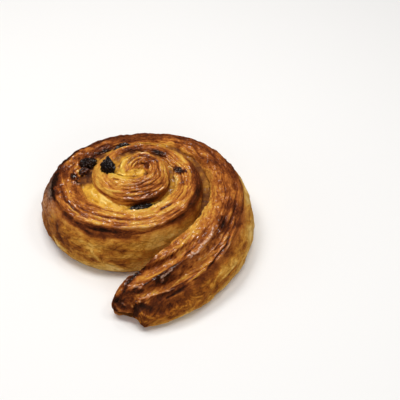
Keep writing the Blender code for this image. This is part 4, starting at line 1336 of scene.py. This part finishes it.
raisins = {}
for name, (*form, amber) in RAISINS.items():
    grid, crease = raisin_grid(*form)
    values = {"crease": np.clip(crease, 0.0, 1.0), "amber": np.full(crease.shape, amber)}
    raisins[name] = make_piece(name + "_skin", grid, values)

# %% [markdown]
# ## Shader maths in Python
# Node trees are easier to read as expressions.  A small class wraps a socket, and
# adding or multiplying two of them adds the Math node.  One function makes any other
# node from its type, its settings and its inputs.

# %% Socket wrapper
class Value:
    """A number socket whose operators add Math nodes to its tree."""

    def __init__(self, tree, socket):
        self.tree, self.socket = tree, socket

    def math(self, operation, *values):
        made = add(self.tree, "ShaderNodeMath", {"operation": operation}, dict(enumerate(values)))
        return Value(self.tree, made.outputs[0])

    def __add__(self, other):
        return self.math("ADD", self, other)

    def __sub__(self, other):
        return self.math("SUBTRACT", self, other)

    def __rsub__(self, other):
        return self.math("SUBTRACT", other, self)

    def __mul__(self, other):
        return self.math("MULTIPLY", self, other)

    def __abs__(self):
        return self.math("ABSOLUTE", self)

    __radd__ = __add__
    __rmul__ = __mul__

    def ramp(self, low, high):
        """0 below low, 1 above high, smooth between."""
        made = add(self.tree, "ShaderNodeMapRange", {"interpolation_type": "SMOOTHSTEP"},
                   {"Value": self, "From Min": low, "From Max": high})
        return Value(self.tree, made.outputs[0])


def add(tree, kind, settings=None, inputs=None):
    """A node of one type: settings first, then each input's value or link."""
    made = tree.nodes.new(kind)
    for key, value in (settings or {}).items():
        if key == "stops":
            fill_ramp(made.color_ramp, value)
        else:
            setattr(made, key, value)
    for key, value in (inputs or {}).items():
        if isinstance(value, Value):
            value = value.socket
        if isinstance(value, bpy.types.NodeSocket):
            tree.links.new(value, made.inputs[key])
        else:
            made.inputs[key].default_value = value
    return made


print("a Value can also be used with", [name for name in vars(Value) if not name.startswith("_")])

# %% [markdown]
# The same few nodes come back in every finish: a number that the mesh carries, a
# noise, a colour ramp, a blend of two colours, a bump.  Each gets a short name here.
# Colours are given as a screen shows them, from 0 to 255, and turned into light.

# %% Nodes with short names
MIX_SHARE, MIX_FIRST, MIX_SECOND, MIX_COLOUR = 0, 6, 7, 2


def linear(red, green, blue):
    """A screen colour (0 to 255) as the linear light that shaders use."""
    channels = np.array([red, green, blue]) / 255.0
    light = np.where(channels <= 0.04045, channels / 12.92, ((channels + 0.055) / 1.055) ** 2.4)
    return (*light.tolist(), 1.0)


def fill_ramp(ramp, stops):
    """Puts (position, colour) stops into a colour ramp."""
    while len(ramp.elements) < len(stops):
        ramp.elements.new(0.5)
    for element, (position, colour) in zip(ramp.elements, stops):
        element.position = position
        element.color = colour


def new_material(name, **sockets):
    """A material, its tree and its Principled shader with constants set on it."""
    made = bpy.data.materials.new(name)
    made.use_nodes = True
    shader = made.node_tree.nodes["Principled BSDF"]
    for key, value in sockets.items():
        shader.inputs[key.replace("_", " ")].default_value = value
    return made, made.node_tree, shader


def feed(tree, shader, **links):
    """Links what varies over the surface to the shader; an underscore stands for a space."""
    for key, value in links.items():
        tree.links.new(getattr(value, "socket", value), shader.inputs[key.replace("_", " ")])


def carried(tree, name):
    """The value that the mesh carries at each point under one name."""
    return Value(tree, add(tree, "ShaderNodeAttribute", {"attribute_name": name}).outputs["Fac"])


def speckle(tree, vector, scale, detail=3.0, roughness=0.55, distortion=0.0):
    """A noise texture's value, with this many patches to a unit of its space."""
    made = add(tree, "ShaderNodeTexNoise", {},
               {"Vector": vector, "Scale": scale, "Detail": detail, "Roughness": roughness,
                "Distortion": distortion})
    return Value(tree, made.outputs[0])


def stretched(tree, vector, scale):
    """A vector space stretched by a Mapping node."""
    return add(tree, "ShaderNodeMapping", {}, {"Vector": vector, "Scale": scale}).outputs[0]


def through(tree, stops, value):
    """The colour at a value on a ramp of stops, each a position and a screen colour."""
    lit = [(position, linear(*colour)) for position, *colour in stops]
    return add(tree, "ShaderNodeValToRGB", {"stops": lit}, {0: value}).outputs[0]


def blended(tree, share, first, second):
    """The first colour where the share is 0, the second where it is 1."""
    return add(tree, "ShaderNodeMix", {"data_type": "RGBA"},
               {MIX_SHARE: share, MIX_FIRST: first, MIX_SECOND: second}).outputs[MIX_COLOUR]


def bumped(tree, height, strength, metres):
    """A normal bent by small relief, whose full height is this many metres."""
    return add(tree, "ShaderNodeBump", {},
               {"Strength": strength, "Distance": metres, "Height": height}).outputs[0]


tell("mid grey as light", linear(128, 128, 128)[0], digits=3)

# %% [markdown]
# ## Baked dough
# The colour of crust runs from cream through gold and amber to dark brown.  The
# point value says how baked a place is, fine noise breaks it up, and a ramp turns it
# into colour: one ramp for the glazed top, one for the dry wall and one for smears of
# custard.  The fine streaks run along the ribbon, because they read its UV map.

# %% Colours of the dough
CRUST = (  # position, then a screen colour
    (0.00, 236, 190, 96), (0.18, 226, 168, 68), (0.34, 206, 136, 54), (0.48, 180, 104, 42),
    (0.62, 144, 76, 28), (0.76, 102, 46, 18), (0.90, 62, 28, 12), (1.00, 36, 18, 10),
)
DRY_SIDE = (
    (0.00, 238, 200, 124), (0.20, 222, 172, 84), (0.38, 200, 138, 50), (0.54, 168, 100, 30),
    (0.70, 122, 62, 18), (0.86, 78, 34, 11), (1.00, 46, 24, 13),
)
SMEAR_YELLOW = ((0.0, 240, 198, 84), (0.5, 218, 156, 44), (1.0, 130, 72, 20))
# The pale pink colour of the painted highlights.
PAINTED_HIGHLIGHT_COLOUR = linear(236, 196, 168)

dough_material, tree, shader = new_material("baked_dough_skin", Specular_IOR_Level=0.08,
                                            Coat_Roughness=0.07, Coat_IOR=1.8)
bake_value, wall_value, yolk_value = (carried(tree, n) for n in ("bake", "wall", "yolk"))
shine_value, painted_highlight_value = (carried(tree, n) for n in ("shine", "film"))
space = add(tree, "ShaderNodeTexCoord").outputs["Object"]
uv_space = add(tree, "ShaderNodeUVMap", {"uv_map": "UVMap"}).outputs[0]
streaks = speckle(tree, stretched(tree, uv_space, (16.0, 80.0, 1.0)), 1.0, 4.0, 0.6, 0.3)
fine_streaks = speckle(tree, stretched(tree, uv_space, (60.0, 135.0, 1.0)), 1.0, 3.0, 0.6)
wall_lines = speckle(tree, stretched(tree, uv_space, (18.0, 34.0, 1.0)), 1.0, 4.0, 0.6, 1.4)
mottle = speckle(tree, space, 260.0, 4.0, 0.6)
cloud = speckle(tree, space, 120.0, 4.0, 0.65, 0.6)
grain = speckle(tree, space, 1400.0, 3.0, 0.6)
sparkle = speckle(tree, space, 800.0, 3.0, 0.6)
seam = 1.0 - abs(streaks - 0.5).ramp(0.0, 0.035)
fold = 1.0 - abs(wall_lines - 0.5).ramp(0.0, 0.045)
shade = bake_value + (streaks - 0.5) * 0.14 + (fine_streaks - 0.5) * 0.52 + seam * 0.05
shade = shade + (mottle - 0.5) * 0.26 + (grain - 0.5) * 0.18
side_shade = bake_value + (cloud - 0.5) * 0.30 + (mottle - 0.5) * 0.30 + (grain - 0.5) * 0.16
side_shade = side_shade + fold * 0.12 + (wall_lines - 0.5) * 0.30 - 0.07
colour = blended(tree, yolk_value, through(tree, CRUST, shade), through(tree, SMEAR_YELLOW, shade))
colour = blended(tree, wall_value, colour, through(tree, DRY_SIDE, side_shade))
# Painted highlight: the pale colour is blended in, in sparkles, wherever the mesh carries it.
painted_highlight_share = sparkle.ramp(0.38, 0.60) * painted_highlight_value * 0.85
feed(tree, shader, Base_Color=blended(tree, painted_highlight_share, colour, PAINTED_HIGHLIGHT_COLOUR))
print(dough_material.name, len(tree.nodes), "nodes for its colour")

# %% [markdown]
# The top was brushed with glaze, so it has a glossy coat that comes and goes in
# sparkles; the wall is drier and rougher.  The same streaks and seams that colour the
# dough also bend its normal a little, for relief finer than the mesh.

# %% Gloss and relief of the dough
gloss = sparkle.ramp(0.46, 0.58) * shine_value * 1.3
rough = 0.48 + (grain - 0.5) * 0.25 + wall_value * 0.10
top_share = 1.0 - wall_value
relief = (streaks * 0.5 + fine_streaks * 0.90 - seam * 0.15) * top_share
relief = relief + mottle * 0.5 + grain * 0.22 + (wall_lines * 0.8 - fold * 0.35) * wall_value
feed(tree, shader, Coat_Weight=gloss, Roughness=rough, Normal=bumped(tree, relief, 0.9, 0.0008))
dough.data.materials.append(dough_material)
print(dough_material.name, len(tree.nodes), "nodes")

# %% [markdown]
# ## Custard material
# Baked custard is yellow where it stayed thick and browns where it is thin or
# touches the dough.  It is smooth and a little wet where it is pale, and dull where
# it browned, so both its coat and its roughness follow the baking.

# %% Custard finish
YOLK = (
    (0.00, 240, 204, 112), (0.25, 222, 168, 50), (0.45, 186, 130, 36), (0.62, 140, 86, 26),
    (0.80, 96, 50, 18), (1.00, 56, 28, 14),
)
custard_material, tree, shader = new_material("baked_custard_fill", Specular_IOR_Level=0.2,
                                              Coat_Roughness=0.08, Coat_IOR=1.7)
bake_value = carried(tree, "bake")
space = add(tree, "ShaderNodeTexCoord").outputs["Object"]
cloud = speckle(tree, space, 300.0, 4.0, 0.6)
grain = speckle(tree, space, 1100.0, 3.0, 0.6)
shade = bake_value + (cloud - 0.5) * 0.5 + (grain - 0.5) * 0.2
wet = cloud.ramp(0.50, 0.62) * (1.0 - (bake_value * 1.1).ramp(0.35, 0.85)) * 0.7
feed(tree, shader, Base_Color=through(tree, YOLK, shade), Coat_Weight=wet,
     Roughness=0.42 + bake_value * 0.45 + (grain - 0.5) * 0.2,
     Normal=bumped(tree, cloud * 0.7 + grain * 0.3, 0.6, 0.0006))
custard.data.materials.append(custard_material)
print(custard_material.name, len(tree.nodes), "nodes")

# %% [markdown]
# ## Raisin skin
# Nearly black, with a warm brown bloom on the folds that stand out and a soft shine.
# Two of the raisins are half buried and look amber, so a second ramp takes over as
# far as the mesh says.

# %% Raisin finish
RAISIN_SKIN = (
    (0.00, 6, 4, 4), (0.35, 17, 9, 8), (0.60, 36, 19, 14), (0.80, 74, 42, 28), (1.00, 120, 76, 50),
)
AMBER_SKIN = (
    (0.00, 22, 9, 6), (0.35, 56, 24, 13), (0.60, 98, 48, 22), (0.80, 146, 84, 38), (1.00, 196, 128, 66),
)
raisin_material, tree, shader = new_material("raisin_dark_skin", Specular_IOR_Level=0.15,
                                             Coat_Roughness=0.10, Coat_IOR=1.6)
space = add(tree, "ShaderNodeTexCoord").outputs["Object"]
bloom = speckle(tree, space, 600.0, 4.0, 0.6)
grain = speckle(tree, space, 1800.0, 2.0, 0.5)
shade = carried(tree, "crease") * 0.75 + (bloom - 0.5) * 0.7 + (grain - 0.5) * 0.3 - 0.04
colour = blended(tree, carried(tree, "amber"), through(tree, RAISIN_SKIN, shade),
                 through(tree, AMBER_SKIN, shade))
feed(tree, shader, Base_Color=colour, Coat_Weight=bloom.ramp(0.44, 0.55) * 0.95,
     Roughness=0.55 + (grain - 0.5) * 0.3, Normal=bumped(tree, bloom * 0.5 + grain * 0.5, 0.8, 0.0006))
for piece in raisins.values():
    piece.data.materials.append(raisin_material)
print(raisin_material.name, len(tree.nodes), "nodes")

# %% [markdown]
# ## Table top and light
# The photograph has a white ground and soft light from above.  A large plane in a
# pale matt finish catches the shadow.  Two big soft lamps, a little warm, stand at
# the upper left and overhead; two small ones at the right and at the back put glints
# on the glaze.  Two low lamps at the front and the left open up the wall, and a
# white world fills the rest.  Those fills and the table aren't mirrored, or the glaze
# would look hazy.

# %% Table top
TABLE_HALF = 3.0
TABLE_GREY = 0.88
corners = [(x * TABLE_HALF, y * TABLE_HALF, 0.0) for x, y in ((-1, -1), (1, -1), (1, 1), (-1, 1))]
floor_mesh = bpy.data.meshes.new("table_top")
floor_mesh.from_pydata(corners, [], [(0, 1, 2, 3)])
floor = bpy.data.objects.new("table_top", floor_mesh)
floor.visible_glossy = False
bpy.context.scene.collection.objects.link(floor)
floor_material, tree, shader = new_material("pale_table", Roughness=0.7)
shader.inputs["Base Color"].default_value = (TABLE_GREY, TABLE_GREY, TABLE_GREY, 1.0)
floor_mesh.materials.append(floor_material)
print(floor.name, "is", 2.0 * TABLE_HALF, "m wide")

# %% Lamps and world
WARM = (1.0, 0.97, 0.93)
WHITE = (1.0, 1.0, 1.0)
LAMPS = (  # name, place in metres, size in metres, watts, colour, whether the glaze mirrors it
    ("key_lamp", (-0.30, 0.20, 0.78), 0.32, 3.0, WARM, True),
    ("top_lamp", (0.10, 0.02, 0.88), 0.30, 2.2, WARM, True),
    ("right_lamp", (0.42, 0.02, 0.74), 0.14, 0.8, WHITE, True),
    ("back_lamp", (-0.04, 0.42, 0.74), 0.14, 0.7, WHITE, True),
    ("front_lamp", (0.20, -0.80, 0.34), 0.50, 1.6, WHITE, False),
    ("left_lamp", (-0.85, -0.20, 0.30), 0.40, 0.8, WHITE, False),
)
LAMP_TARGET = Vector((0.0, 0.0, 0.02))
WORLD_STRENGTH = 0.26

for name, place, size, watts, colour, mirrored in LAMPS:
    data = bpy.data.lights.new(name, "AREA")
    data.size, data.energy, data.color = size, watts, colour
    lamp = bpy.data.objects.new(name, data)
    lamp.location = place
    lamp.visible_glossy = mirrored
    lamp.rotation_euler = (LAMP_TARGET - Vector(place)).to_track_quat("-Z", "Y").to_euler()
    bpy.context.scene.collection.objects.link(lamp)

world = bpy.data.worlds.new("studio")
bpy.context.scene.world = world
world.use_nodes = True
world.cycles_visibility.glossy = False
world.node_tree.nodes["Background"].inputs["Color"].default_value = (*WHITE, 1.0)
world.node_tree.nodes["Background"].inputs["Strength"].default_value = WORLD_STRENGTH
bpy.context.scene.view_settings.view_transform = "Standard"
tell("all lamps together", sum(lamp[3] for lamp in LAMPS), "watts")

# %% [markdown]
# ## Attach to the body
# Every piece rides on the only body and stands for the CAD node that it covers,
# which is hidden.

# %% Attach and finish
pieces = [(dough, "dough", "baked_dough"), (custard, "custard", "baked_custard")]
pieces += [(piece, name, "raisin_skin") for name, piece in raisins.items()]
for piece, node, slot in pieces:
    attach(piece, "root")
    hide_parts(node)
